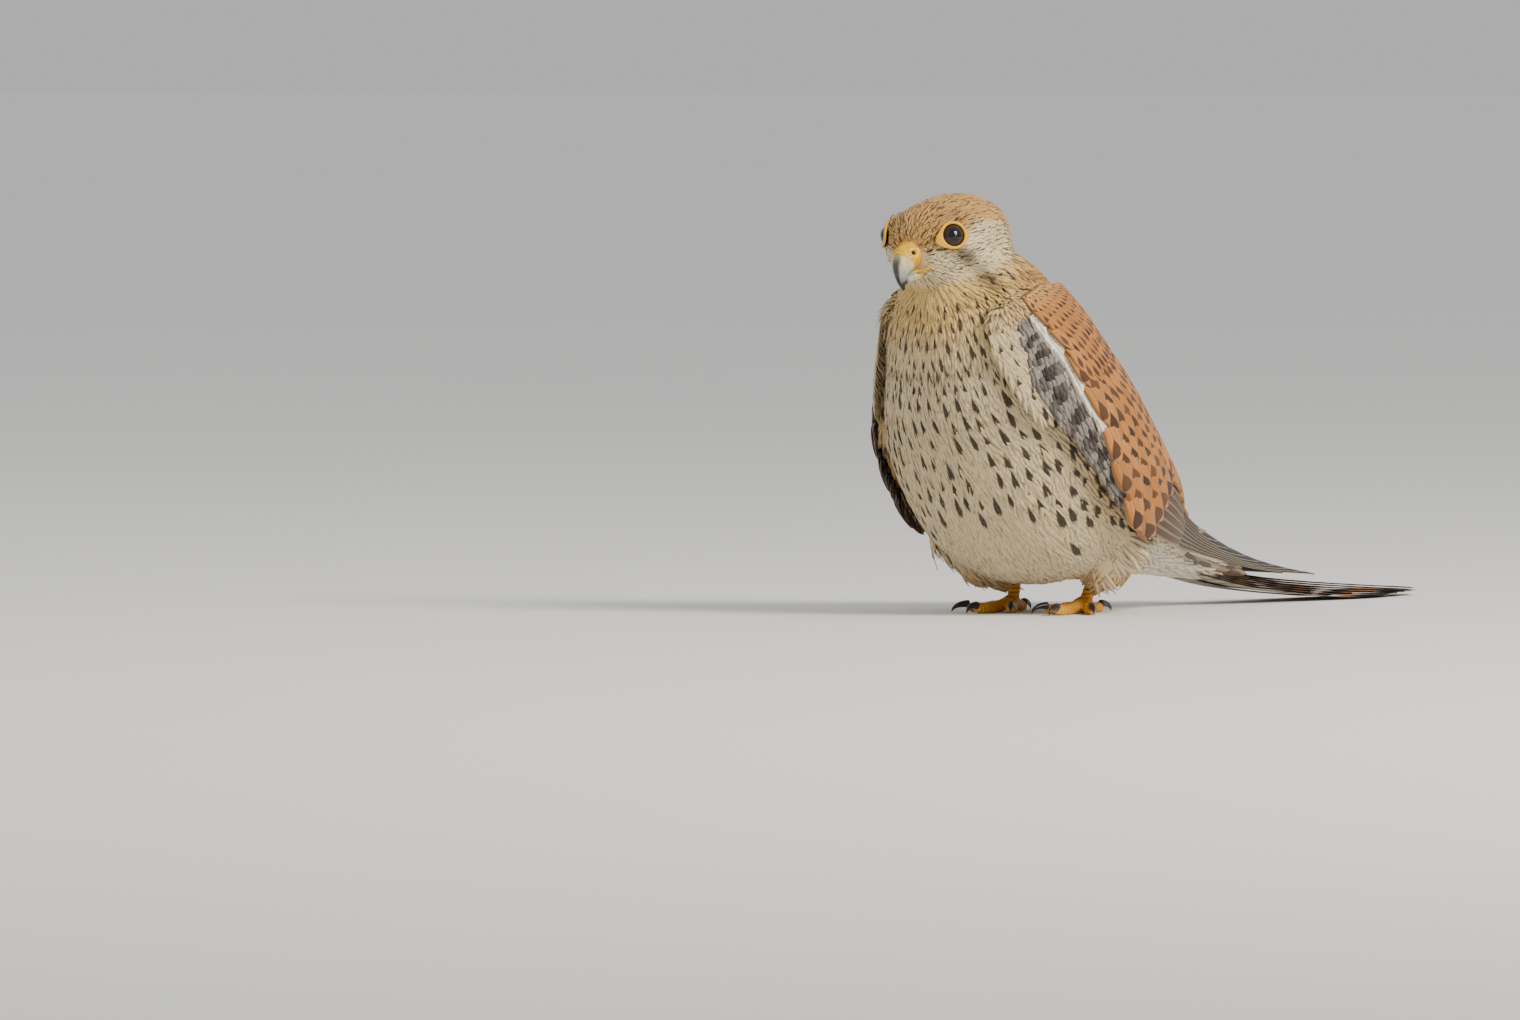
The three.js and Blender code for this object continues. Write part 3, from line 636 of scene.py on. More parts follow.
def place_group(tree, group, **values):
    """A group node in a tree, with its inputs set by name."""
    made = tree.nodes.new("ShaderNodeGroup")
    made.node_tree = group
    for key, value in values.items():
        made.inputs[key].default_value = value
    return made


def spot_group():
    """A mark laid over many feathers, from the place in its own frame that they store: across in
    half widths, along in half lengths, and 1 for an arrowhead. Its edge is frayed by Fray."""
    tree, given, result = new_group("spot", {"Fray": 0.5}, ["Mask"])
    place = stored(tree, "near", "Vector")
    split = node(tree, "ShaderNodeSeparateXYZ", {0: place})
    aside = maths(tree, "ABSOLUTE", split.outputs[0])
    fray = maths(tree, "MULTIPLY", maths(tree, "SUBTRACT", given.outputs["Fray"], 0.5), 0.5)
    along = maths(tree, "ADD", split.outputs[1], fray)
    point = maths(tree, "MULTIPLY", maths(tree, "MULTIPLY", aside, split.outputs[2]), 0.45)
    along = maths(tree, "ADD", along, point)
    round_end = maths(tree, "SUBTRACT", 1.0, maths(tree, "POWER", along, 2.0))
    round_end = maths(tree, "MAXIMUM", round_end, 0.0)
    drop = maths(tree, "ADD", maths(tree, "MULTIPLY", along, 0.38), 0.62)
    half = maths(tree, "MULTIPLY", maths(tree, "SQRT", round_end), drop)
    inside = maths(tree, "SUBTRACT", half, aside)
    tree.links.new(stepped(tree, inside, -0.06, 0.14), result.inputs["Mask"])
    return tree


SPOT = spot_group()


def plumage_material(name, ink, ink_share=1.0, mark=None, barbs=None, spots=False, rim=0.0):
    """Plumage: each feather's own tint, streaked a little lighter and darker along its strands,
    with a mark of ink where its mark value asks for one, or the spots that it stores, a paler
    rim at its tip, and a bump from the same strands."""
    made, tree, shader = new_material(name)
    tint = stored(tree, "tint", "Color")
    lines = place_group(tree, BARBS, **(barbs or {}))
    dark = multiplied(tree, 1.0, tint, (0.76, 0.76, 0.76, 1.0))
    colour = mixed(tree, lines.outputs["Shade"], dark, tint)
    if mark:
        shape = place_group(tree, FEATHER_MARK, **mark).outputs["Mask"]
        strength = stored(tree, "mark")
        share = maths(tree, "MULTIPLY", maths(tree, "MULTIPLY", shape, strength), ink_share)
        colour = mixed(tree, share, colour, rgba(ink))
    if spots:
        shape = place_group(tree, SPOT)
        tree.links.new(lines.outputs["Shade"], shape.inputs["Fray"])
        share = maths(tree, "MULTIPLY", shape.outputs["Mask"], ink_share)
        colour = mixed(tree, share, colour, rgba(ink))
    if rim:
        aside, along, _ = vane_place(tree)
        end = stepped(tree, along, 0.88, 0.98)
        edge = maths(tree, "MAXIMUM", end, stepped(tree, aside, 0.4, 0.5))
        colour = mixed(tree, maths(tree, "MULTIPLY", edge, rim), colour, rgba("#e2c296"))
    tree.links.new(colour, shader.inputs["Base Color"])
    bumped(tree, shader, lines.outputs["Height"], 0.25, 0.0004)
    shader.inputs["Roughness"].default_value = 0.7
    shader.inputs["Specular IOR Level"].default_value = 0.25
    shader.inputs["Sheen Weight"].default_value = 0.12
    return made


def vane_faces(sections, columns):
    """The faces of one vane whose sections are rings: its columns above, then the inner ones
    below from last to second. Quads join the rings, and quads and triangles close the ends."""
    ring = 2 * columns - 2
    i, j = np.meshgrid(np.arange(sections - 1) * ring, np.arange(ring), indexing="ij")
    k = (j + 1) % ring
    quads = np.stack([i + j, i + k, i + ring + k, i + ring + j], -1).reshape(-1, 4).tolist()
    under = [0, *range(ring - 1, columns - 1, -1), columns - 1]
    for start, flip in ((0, True), ((sections - 1) * ring, False)):
        for c in range(columns - 1):
            face = [start + c, start + c + 1, start + under[c + 1], start + under[c]]
            face = [v for n, v in enumerate(face) if v not in face[:n]]
            quads.append(face if not flip else face[::-1])
    return quads


def bake_map(place, across, along):
    """Where each feather lies on its piece's sheet: a patch 0.003 wide about its own place."""
    return place[:, None, :] + 0.003 * (np.stack([across, along], -1)[None] - 0.5)


def vane_object(name, top, out, thick, tint, mark, patch, draw):
    """Many closed vanes as one object. top holds them as vanes, sections, columns: the lower face
    lies below it by thick times the sine across the vane, and meets it at the edges. tint is one
    colour a vane or one a point; mark is how strong a vane's mark is; patch is its place on the
    piece's sheet."""
    count, sections, columns = top.shape[:3]
    across = np.linspace(0, 1, columns)
    bow = np.sin(np.pi * across)[None, None, :, None]
    low = (top - out * bow * np.asarray(thick)[..., None, None, None])[:, :, -2:0:-1]
    ring = np.concatenate([top, low], 2)
    around = np.concatenate([across, across[-2:0:-1]])
    size = ring.shape[2]
    one = vane_faces(sections, columns)
    each = sections * size
    sizes = np.array([len(f) for f in one])
    flat = np.concatenate(one)
    corners = (flat[None] + (np.arange(count) * each)[:, None]).ravel()
    mesh = bpy.data.meshes.new(name)
    mesh.vertices.add(count * each)
    mesh.vertices.foreach_set("co", (ring * MM).ravel())
    mesh.loops.add(len(corners))
    mesh.loops.foreach_set("vertex_index", corners)
    mesh.polygons.add(len(sizes) * count)
    starts = np.concatenate([[0], np.cumsum(np.tile(sizes, count))[:-1]])
    mesh.polygons.foreach_set("loop_start", starts)
    mesh.polygons.foreach_set("use_smooth", np.ones(len(starts), bool))
    mesh.update(calc_edges=True)
    u = np.tile(around, sections)
    v = np.repeat(np.linspace(0, 1, sections), size)
    if tint.ndim == 2:
        tint = np.repeat(tint[:, None], each, 1)
    set_attribute(mesh, "tint", "FLOAT_COLOR", "POINT", with_alpha(tint))
    set_attribute(mesh, "mark", "FLOAT", "POINT", np.repeat(mark, each))
    set_attribute(mesh, "draw", "FLOAT", "POINT", np.repeat(draw.random(count), each))
    below = np.zeros(len(one))
    below[: (sections - 1) * size] = np.tile(np.arange(size) >= columns - 1, sections - 1)
    set_attribute(mesh, "below", "FLOAT", "FACE", np.tile(below, count))
    vane = np.tile(np.stack([u, v], -1), (count, 1))[corners]
    baked = bake_map(patch, u, v).reshape(-1, 2)[corners]
    mesh.uv_layers.new(name="Vane").data.foreach_set("uv", vane.ravel())
    mesh.uv_layers.new(name="OFBake").data.foreach_set("uv", baked.ravel())
    mesh.validate()
    obj = bpy.data.objects.new(name, mesh)
    bpy.context.scene.collection.objects.link(obj)
    return obj


def small_vanes(root, way, out, length, width, lift, droop, fan, draw, blades):
    """The upper faces of small feathers. A feather's middle runs from its root along its way,
    rises to lift over the skin and falls by its length squared over twice droop, the radius of
    the body there; blades narrow vanes side by side, turned apart by fan, make one feather."""
    side = unit(np.cross(way, out))
    k = np.arange(blades) - (blades - 1) / 2
    count = len(root)
    shape = (count, blades)
    turn = fan * k[None] + draw.normal(0, 0.05, shape)
    stretch = 1 + draw.normal(0, 0.1, shape) - 0.06 * np.abs(k)[None]
    way = way[:, None] * np.cos(turn)[..., None] + side[:, None] * np.sin(turn)[..., None]
    across = unit(np.cross(way, out[:, None]))
    step = width / blades
    start = root[:, None] + side[:, None] * (k[None] * (step * 0.7)[:, None])[..., None]
    long = length[:, None] * stretch
    half = np.broadcast_to(step[:, None] * (0.5 if blades == 1 else 0.7), shape)
    u = np.linspace(0, 1, 5)
    broad = np.interp(u, [0, 0.3, 0.6, 0.85, 1], [0.6, 1, 0.92, 0.55, 0.05])
    sink = np.minimum(0.9, 0.1 + 0.09 * length)[:, None, None]
    rise = lift[:, None, None] * u**0.6 - sink * (1 - u) ** 3
    rise = rise - (long[..., None] * u) ** 2 / (2 * droop[:, None, None])
    rise = rise + 0.3 * draw.random(shape)[..., None] * u
    middle = start[..., None, :] + way[..., None, :] * (long[..., None] * u)[..., None]
    middle = middle + out[:, None, None] * rise[..., None]
    x = np.array([-1, 0, 1.0])
    camber = 0.22 * half[..., None, None] * (1 - x**2) * broad[:, None]
    spread = half[..., None, None] * broad[:, None] * x
    top = middle[..., None, :] + across[..., None, None, :] * spread[..., None]
    top = top + out[:, None, None, None] * camber[..., None]
    normal = np.broadcast_to(out[:, None, None, None], top.shape)
    flat = (count * blades, len(u), 3, 3)
    return top.reshape(flat), normal.reshape(flat)


def plumage(name, root, way, out, length, width, lift, droop, tint, mark, patch, seed,
            blades=1, fan=0.12, thick=0.32):
    """An object of small feathers, with each feather's lightness varied a little."""
    draw = np.random.default_rng(seed)
    top, normal = small_vanes(root, way, out, length, width, lift, droop, fan, draw, blades)
    tint = np.repeat(tint, blades, 0) * (1 + draw.normal(0, 0.05, (len(top), 1)))
    repeated = np.repeat(mark, blades), np.repeat(patch, blades, 0)
    obj = vane_object(name, top, normal, thick, np.clip(tint, 0, 1), *repeated, draw)
    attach(obj, "root")
    return obj


def rows(point, first, last, step, gap, seed, low=0.0, high=2 * np.pi):
    """Staggered places in rows on a surface point(t, turn): rows step apart along it, places gap
    apart round it, each moved by a small seeded amount."""
    draw = np.random.default_rng(seed)
    t = np.linspace(first, last, 400)
    path = point(t, np.zeros(400) + (low + high) / 2)
    run = np.concatenate([[0], np.cumsum(np.linalg.norm(np.diff(path, axis=0), axis=1))])
    ts, turns = [], []
    for n, at in enumerate(np.arange(0, run[-1], step)):
        here = np.interp(at, run, t)
        loop = point(np.full(96, here), np.linspace(low, high, 96))
        around = np.linalg.norm(np.diff(loop, axis=0), axis=1)
        count = max(3, int(around.sum() / gap))
        share = (np.arange(count) + 0.5 * (n % 2) + 0.25 + draw.uniform(-0.2, 0.2, count)) / count
        measure = np.concatenate([[0], np.cumsum(around)]) / around.sum()
        turns.append(np.interp(share % 1, measure, np.linspace(low, high, 96)))
        moved = draw.uniform(-0.25, 0.25, count) * step / run[-1] * (last - first)
        ts.append(np.full(count, here) + moved)
    return np.concatenate(ts), np.concatenate(turns)


def tangent(way, out):
    """The part of each way that lies along the skin, at length 1."""
    return unit(way - out * (way * out).sum(-1, keepdims=True))


EYE_CLEAR = 5.1  # how far feathers keep from the middle of an eye's lids
EYE_CENTRE = np.array([12.2, 8.4, 5.2])
GAZE = unit(np.array([0.84, 0.4, 0.36]))
LID_LIFT = 4.0


def eye_ring(side):
    """The middle of an eye's lids and the way that it looks."""
    way = (GAZE * [side, 1, 1]) @ HEAD_AXES
    return from_head(EYE_CENTRE * [side, 1, 1]) + way * LID_LIFT, way


def clear_of_face(root, way, length):
    """Which feathers keep off the eyes and the bill, at four places from their root to their
    tip: out of a ball round each eye, and ahead of the face out of the bill's oval."""
    kept = np.ones(len(root), bool)
    for share in (0.0, 0.35, 0.7, 1.0):
        here = root + way * (length * share)[:, None]
        for side in (1, -1):
            kept &= np.linalg.norm(here - eye_ring(side)[0], axis=1) > EYE_CLEAR
        left, ahead, up = ((here - HEAD_CENTRE) @ HEAD_AXES.T).T
        kept &= ~((ahead > 13) & ((left / 6.1) ** 2 + ((up - 0.4) / 6.6) ** 2 < 1))
    return kept


def sown(density, seed):
    """Places sown over the skin: density feathers on average at each of its corners, each moved
    by up to 0.9 mm along the skin, with the way out of the skin there."""
    draw = np.random.default_rng(seed)
    copies = np.floor(density + draw.random(len(density))).astype(int)
    index = np.repeat(np.arange(len(density)), copies)
    out = skin_out[index]
    aside = unit(np.cross(out, draw.normal(0, 1, (len(index), 3))))
    return skin_points[index] + aside * draw.uniform(0, 0.9, (len(index), 1)), out, draw


def head_lie(points, out):
    """The way that feathers lie: from the bill back over the head, and down the neck below it."""
    t, turn = spine_place(points)
    down = spine_frame(t)[1]
    share = ease(20, 33, np.linalg.norm(points - HEAD_CENTRE, axis=1))[:, None]
    bill = from_head(np.array([0.0, 19.0, 1.5]))
    way = unit(points - bill) * (1 - share) + down * share
    steep = np.linalg.norm(way - out * (way * out).sum(-1, keepdims=True), axis=1)
    return tangent(way, out), steep, t, turn


def head_feathers(nearest, furthest, density, seed):
    """Roots, ways, sizes and colours of the feathers between two distances from the middle of the
    head: about 2 mm long beside the bill, 6 on the nape and chin and up to 10 down the neck."""
    away = np.linalg.norm(skin_points - HEAD_CENTRE, axis=1)
    wanted = density * ease(nearest - 1, nearest + 1, away)
    wanted = wanted * (1 - ease(furthest - 1, furthest + 1, away))
    root, out, draw = sown(wanted, seed)
    way, steep, t, turn = head_lie(root, out)
    local = (root - HEAD_CENTRE) @ HEAD_AXES.T
    from_bill = np.linalg.norm(local - [0, 19, 1.5], axis=1)
    away = np.linalg.norm(root - HEAD_CENTRE, axis=1)
    chin = ease(4, 12, -local[:, 2]) * ease(-4, 6, local[:, 1])
    length = 2.2 + 4.4 * ease(5, 34, from_bill) + 3.0 * chin + 3.2 * ease(24, 36, away)
    width = 1.15 + 0.9 * ease(6, 34, from_bill) + 1.0 * ease(22, 34, away)
    middle = spine_frame(t)[0]
    body = np.linalg.norm(trunk_point(t, turn) - middle, axis=1)
    shoulder = ease(0, 4, np.linalg.norm(root - middle, axis=1) - body) * ease(22, 28, away)
    length = length * (0.3 + 0.7 * ease(0.3, 0.85, steep)) * (1 - 0.55 * shoulder)
    kept = clear_of_face(root, way, length)
    tone = blended(trunk_tone(t, turn), head_tone(root), 1 - ease(22, 32, away))
    crown = ease(3, 8, local[:, 2] + 0.2 * local[:, 1])
    behind = ease(2, 12, -local[:, 1])
    share = np.maximum(0.62 * crown, 0.7 * behind)
    share = np.maximum(share, 0.35 * ease(20, 30, away)) * (1 - chin)
    share = np.maximum(share, 0.3 * (1 - chin))
    mark = np.where(draw.random(len(root)) < share, draw.uniform(0.7, 1, len(root)), 0)
    nape = ease(4, 14, -local[:, 1]) * ease(20, 28, away)
    lift = 0.55 + 0.7 * chin + 0.4 * ease(20, 32, away) * ease(0.4, 0.9, steep) + 1.2 * nape
    lift = lift * (1 - 0.7 * shoulder)
    droop = 17 + 70 * ease(20, 30, away) * (1 - shoulder) + 40 * chin
    patch = np.stack([0.02 + 0.3 * t, 0.02 + 0.9 * (turn + np.pi) / (2 * np.pi)], -1)
    fields = (root, way, out, length, width, lift, droop, tone, mark, patch)
    return [a[kept] for a in fields]


def body_feathers(first, last, low, high, step, gap, seed, under_wings=False):
    """Roots, ways and sizes of the trunk's feathers between two places on the spine and two turns
    round it, longer towards the belly and the tail, and none where a wing hides them."""
    t, turn = rows(trunk_point, first, last, step, gap, seed, low, high)
    point = trunk_point(t, turn, -COAT_DEPTH)
    ahead = trunk_point(t + 0.01, turn, -COAT_DEPTH)
    flat, out, away = on_skin(point)
    way = tangent(ahead - point, out)
    aside = np.degrees(np.abs((turn + np.pi) % (2 * np.pi) - np.pi))
    covered = aside > np.interp(t, WING[:, 0], WING[:, 3]) + 10
    covered &= aside < np.interp(t, [0.46, 0.55, 0.64], [150, 118, 86])
    kept = (away < 2.6) & ~(covered & (t > 0.13) & (t < 0.68) & (not under_wings))
    length = 7.5 + 6.5 * ease(0.15, 0.5, t)
    width = 4.2 + 1.8 * ease(0.1, 0.4, t)
    patch = np.stack([0.36 + 0.6 * t, 0.02 + 0.96 * (turn % (2 * np.pi)) / (2 * np.pi)], -1)
    kept &= clear_of_face(flat, way, length)
    fields = (t, turn, flat, way, out, length, width, patch)
    return [a[kept] for a in fields]


def front_marks():
    """The dark marks of the front: place, way, half width, half length and how far each is an
    arrowhead. Thin streaks stand close on the breast, larger drops and arrowheads wider apart on
    the flanks, and none on the middle of the lower belly."""
    parts = []
    for first, last, step, gap, seed in ((0.0, 0.19, 6.0, 4.0, 21), (0.17, 0.55, 8.0, 6.2, 23)):
        t, turn, root, way, out, _, _, _ = body_feathers(
            first, last, -1.7, 1.7, step, gap, seed, under_wings=True
        )
        draw = np.random.default_rng(seed)
        aside = np.abs(turn)
        chance = ease(-0.01, 0.02, t) * (1 - ease(0.28 + 0.11 * aside, 0.35 + 0.13 * aside, t))
        kept = draw.random(len(t)) < 0.9 * chance
        side_on = ease(0.5, 1.1, aside) * ease(0.14, 0.28, t)
        half = 1.15 + 0.55 * ease(0.06, 0.25, t) + 1.0 * side_on
        long = 3.1 + 1.0 * ease(0.05, 0.3, t)
        size = draw.uniform(0.75, 1.2, len(t))
        fields = (root, way, unit(np.cross(way, out)), half * size, long * size, side_on)
        parts.append([a[kept] for a in fields])
    return [np.concatenate(a) for a in zip(*parts)]


MARKS = front_marks()


def store_marks(obj, count, marks=MARKS):
    """Stores for each corner of count feathers its place in the nearest mark's own frame."""
    place, way, side, half, long, arrowhead = marks
    points = mesh_points(obj).reshape(count, -1, 3) / MM
    shown = points[:, points.shape[1] // 2 :].mean(1)
    parts = np.array_split(shown, 20)
    near = np.concatenate([((a[:, None] - place) ** 2).sum(-1).argmin(1) for a in parts])
    away = points - place[near][:, None]
    across = (away * side[near][:, None]).sum(-1) / half[near][:, None]
    along = (away * way[near][:, None]).sum(-1) / long[near][:, None]
    along = along - (1.6 / long[near])[:, None]
    kind = np.broadcast_to(arrowhead[near][:, None], across.shape)
    set_attribute(obj.data, "near", "FLOAT_VECTOR", "POINT", np.stack([across, along, kind], -1))


def head_streaks():
    """The thin dark streaks of the head: a little over 2 mm apart and 5 mm long on the crown,
    finer on the cheeks, and none on the chin."""
    away = np.linalg.norm(skin_points - HEAD_CENTRE, axis=1)
    root, out, draw = sown(0.3 * (1 - ease(25, 27, away)), 9)
    way = head_lie(root, out)[0]
    local = (root - HEAD_CENTRE) @ HEAD_AXES.T
    crown = ease(2, 7, local[:, 2] + 0.2 * local[:, 1])
    behind = ease(2, 12, -local[:, 1])
    strong = np.maximum(crown, behind)
    chin = ease(4, 12, -local[:, 2]) * ease(-4, 6, local[:, 1])
    kept = (chin < 0.3) & (draw.random(len(root)) < 0.6 + 0.4 * strong)
    size = draw.uniform(0.75, 1.2, len(root))
    ahead = ease(8, 18, local[:, 1])
    fields = (root, way, unit(np.cross(way, out)), (0.42 + 0.28 * strong) * size,
              (2.9 + 1.5 * strong - 1.3 * ahead) * size, 0 * size)
    return [a[kept] for a in fields]


streaks = {"Start": -0.2, "Peak": 0.55, "End": 1.04, "Width": 0.24, "Chevron": 0.0}
head_fields = head_feathers(0, 22, 1.9, 5)
head_coat = plumage("head_feathers", *head_fields, seed=7, thick=0.16)
store_marks(head_coat, len(head_fields[0]), head_streaks())
head_barbs = {"Strands": 5.0, "Barbs": 12.0}
head_finish = plumage_material("head_plumage", "#2a1c13", 0.95, barbs=head_barbs, spots=True)
head_coat.data.materials.append(head_finish)

front_finish = plumage_material("breast_plumage", "#2b1e14", 0.95, spots=True)


def front_coat(name, first, last, seed):
    """A band of the front: soft feathers of four fine pointed blades that carry the marks."""
    blades = 4
    t, turn, root, way, out, length, width, patch = body_feathers(
        first, last, -1.95, 1.95, 2.8, 2.4, seed
    )
    lift = 0.8 + 0.5 * ease(0.2, 0.5, t)
    length = length * (1.1 - 0.65 * ease(1.0, 1.5, np.abs(turn)) * ease(0.28, 0.38, t))
    obj = plumage(name, root, way, out, length, width, lift, np.full(len(t), 45.0),
                  trunk_tone(t, turn), np.zeros(len(t)), patch, seed + 1, blades, 0.15)
    store_marks(obj, len(t) * blades)
    obj.data.materials.append(front_finish)


neck_fields = head_feathers(22, 41, 0.9, 6)
neck_coat = plumage("neck_feathers", *neck_fields, seed=8, thick=0.2, blades=2)
store_marks(neck_coat, 2 * len(neck_fields[0]))
neck_barbs = {"Strands": 5.0}
neck_finish = plumage_material("neck_plumage", "#2f2118", 0.92, streaks, neck_barbs, spots=True)
neck_coat.data.materials.append(neck_finish)
front_coat("upper_breast", 0.03, 0.2, 11)
front_coat("lower_breast", 0.2, 0.34, 13)
front_coat("belly", 0.34, 0.48, 15)
front_coat("lower_belly", 0.48, 0.62, 17)


def back_coat():
    """Nape, mantle strip and rump, where the wings leave them open."""
    t, turn, root, way, out, length, width, patch = body_feathers(
        0.03, 0.785, 1.75, 2 * np.pi - 1.75, 3.0, 2.6, 31
    )
    behind = (t > 0.1) | (np.abs(turn - np.pi) < 0.8)
    t, turn, root, way, out, length, width, patch = (
        a[behind] for a in (t, turn, root, way, out, length, width, patch)
    )
    mark = 0.9 * (np.random.default_rng(33).random(len(t)) < 0.6)
    length = length * 0.9 + 7 * ease(0.66, 0.76, t)
    lift = 0.9 + 0.9 * (1 - ease(0.1, 0.2, t))
    return plumage("back_feathers", root, way, out, length, width * 0.95, lift,
                   40 + 60 * ease(0.5, 0.7, t), trunk_tone(t, turn), mark, patch, 32)


back_plumage = back_coat()
back_plumage.data.materials.append(plumage_material("back_plumage", "#2e2019", 0.85, streaks))


def vent_coat():
    """The long white feathers under the tail's root."""
    t, turn, root, way, out, length, width, patch = body_feathers(
        0.6, 0.77, -1.9, 1.9, 3.0, 2.6, 41
    )
    length = length * (1.1 - 0.5 * ease(0.7, 1.2, np.abs(turn)) * (1 - ease(0.66, 0.72, t)))
    return plumage("vent_feathers", root, way, out, length, width * 1.1, np.full(len(t), 0.4),
                   np.full(len(t), 90.0), trunk_tone(t, turn), np.zeros(len(t)), patch, 42,
                   blades=3, fan=0.06)


vent = vent_coat()
vent.data.materials.append(plumage_material("vent_plumage", "#4a3a2c"))


def thigh_coat():
    """The loose feathers of the thighs, each of four blades that lie down the leg: 5.5 mm long
    at the hip, 10 half way and 6.5 at the ankle."""
    parts = []
    for n, side in enumerate((1, -1)):
        path, radii = thigh_path(side)

        def around(t, turn):
            """A point round the thigh's middle line."""
            middle = along_table(path, t)
            size = along_table(radii[:, None], t)[..., 0] - COAT_DEPTH
            way = unit(along_table(path, t + 0.02) - along_table(path, t - 0.02))
            across = unit(np.cross(way, [0.0, 1.0, 0.0]))
            return middle + size[..., None] * (
                across * np.cos(turn)[..., None] + np.cross(across, way) * np.sin(turn)[..., None]
            )

        t, turn = rows(around, 0.1, 0.93, 3.0, 2.6, 50 + n)
        flat, out, away = on_skin(around(t, turn))
        way = tangent(around(t + 0.03, turn) - around(t - 0.03, turn), out)
        kept = away < 2.6
        patch = np.stack([0.02 + 0.3 * t, 0.02 + 0.45 * turn / (2 * np.pi) + 0.47 * n], -1)
        parts.append([a[kept] for a in (flat, way, out, t, patch)])
    root, way, out, t, patch = (np.concatenate(a) for a in zip(*parts))
    one = np.ones(len(t))
    tint = blended(TONES["flank"], TONES["belly"], 0.4 * one)
    length = (10 - 4.5 * (1 - ease(0.1, 0.4, t)) - 3.5 * ease(0.55, 0.9, t)) * one
    return plumage("thigh_feathers", root, way, out, length, 4.6 * one, 0.7 * one, 15 * one,
                   tint, 0 * one, patch, 55, blades=4, thick=0.2)


thighs = thigh_coat()
thighs.data.materials.append(plumage_material("thigh_plumage", "#4a3a2c"))


# The folded wings. Each is a fan of long flight feathers, the primaries and secondaries, closed
# under tiles of coverts: small ones at the wrist, larger ones row by row towards the back.
# A cream edge runs down its front, brightened to near white as a painted highlight, and a lining
# of pale feathers, painted darker grey as shade, shows between that and the flank.
CHESTNUT = linear("#b8742e")
# painted highlight: a pale cream brightened to near white along the wing's front edge
CREAM_AND_HIGHLIGHT = linear("#fbefd6")
# painted shade: the lining's pale feathers get a darker grey in place of the shade that they lie in
LINING_AND_SHADE = linear("#8f857b")
DUSK = linear("#2c231d")
WING_LENGTH = 245.0  # millimetres from w = 0 to w = 1 along the wing's face
SIDES = (("left", 1), ("right", -1))


def laid_vanes(side, start, end, low, high, lift, sink, tilt, sections, tip, floor=None):
    """The upper faces of feathers that follow the wing's face. Across, each spans low to high,
    narrowed at the root and by a square root at the tip; its height climbs from -sink to lift
    over its first three tenths, and tilt raises its upper edge. low and high are shares of the face
    above floor, a function of the place along the wing, where there is one."""
    u = np.linspace(0, 1, sections)
    w = start[:, None] + (end - start)[:, None] * u
    narrow = np.sqrt(np.clip((1 - u) / tip, 0, 1))
    narrow = np.maximum(0.07, narrow * np.interp(u, [0, 0.25], [0.55, 1]))
    x = np.linspace(1, -1, 5) * side
    half = ((high - low) / 2)[:, None, None]
    v = ((low + high) / 2)[:, None, None] + half * narrow[:, None] * x
    if floor:
        bottom = floor(w)[..., None]
        v = bottom + (1 - bottom) * v
    climb = np.interp(u, [0, 0.3], [0, 1])
    rise = -sink[:, None] * (1 - climb) + lift[:, None] * climb
    rise = rise[..., None] + tilt * x * narrow[:, None] + 0.25 * (1 - x**2) * narrow[:, None]
    point, out, _ = wing_place(side, w[..., None], v, rise)
    return point, out


def wing_patch(side, w, v):
    """A wing feather's place on its piece's sheet: along the wing in x and across it in y, in the
    lower half of the sheet for the left wing and in the upper one for the right."""
    return np.stack([0.02 + 0.94 * w, 0.5 * (side < 0) + 0.02 + 0.4 * np.clip(v, 0, 1.1)], -1)


def covert_rows(side, first, last, step, lane, low, high, seed):
    """Where coverts lie: rows whose tips are step apart along the wing, with lanes lane mm apart
    across it, every other row shifted by half a lane."""
    draw = np.random.default_rng(seed + side)
    tips, lows, highs = [], [], []
    for n, tip in enumerate(np.arange(first, last, step)):
        v = np.linspace(low, high, 60)
        line = wing_place(side, np.full(60, tip), v)[0]
        span = np.linalg.norm(np.diff(line, axis=0), axis=1).sum()
        count = max(2, int(span / lane))
        share = (np.arange(count) + 0.5 * (n % 2) + 0.25 + draw.uniform(-0.1, 0.1, count)) / count
        middle = low + (high - low) * share
        half = 0.8 * (high - low) / count
        tips.append(tip + draw.uniform(-0.2, 0.2, count) * step)
        lows.append(middle - half)
        highs.append(middle + half)
    return np.concatenate(tips), np.concatenate(lows), np.concatenate(highs), draw


def lining_edge(w):
    """Where the breast feathers end on a wing's face and its lining starts, as v: pale feathers
    painted darker grey as shade.
    """
    return np.interp(w, [0, 0.05, 0.1, 0.15, 0.25, 0.4], [0.45, 0.235, 0.125, 0.04, 0.0, -0.04])


def cream_edge(w):
    """Where the lining ends at the cream line, painted brighter as a highlight, and the chestnut
    coverts start, as v.
    """
    return np.interp(w, [0, 0.05, 0.1, 0.15, 0.2, 0.25, 0.3, 0.35, 0.42],
                     [0.5, 0.34, 0.285, 0.26, 0.2, 0.13, 0.09, 0.05, -0.05])


def coverts_edge(w):
    """Where the lowest coverts lie, as v: on the cream line's upper side."""
    return cream_edge(w) + 0.045 * (1 - ease(0.2, 0.34, w))


def wing_tone(w, v):
    """The colour of a covert: chestnut, a touch paler at its lowest and buff next to the nape."""
    # a little of the cream edge's colour, which carries a painted highlight
    tone = blended(CHESTNUT, CREAM_AND_HIGHLIGHT, 0.04 * (1 - ease(0.0, 0.1, v)))
    return blended(tone, TONES["nape"], 0.75 * (1 - ease(0.02, 0.11, w)))


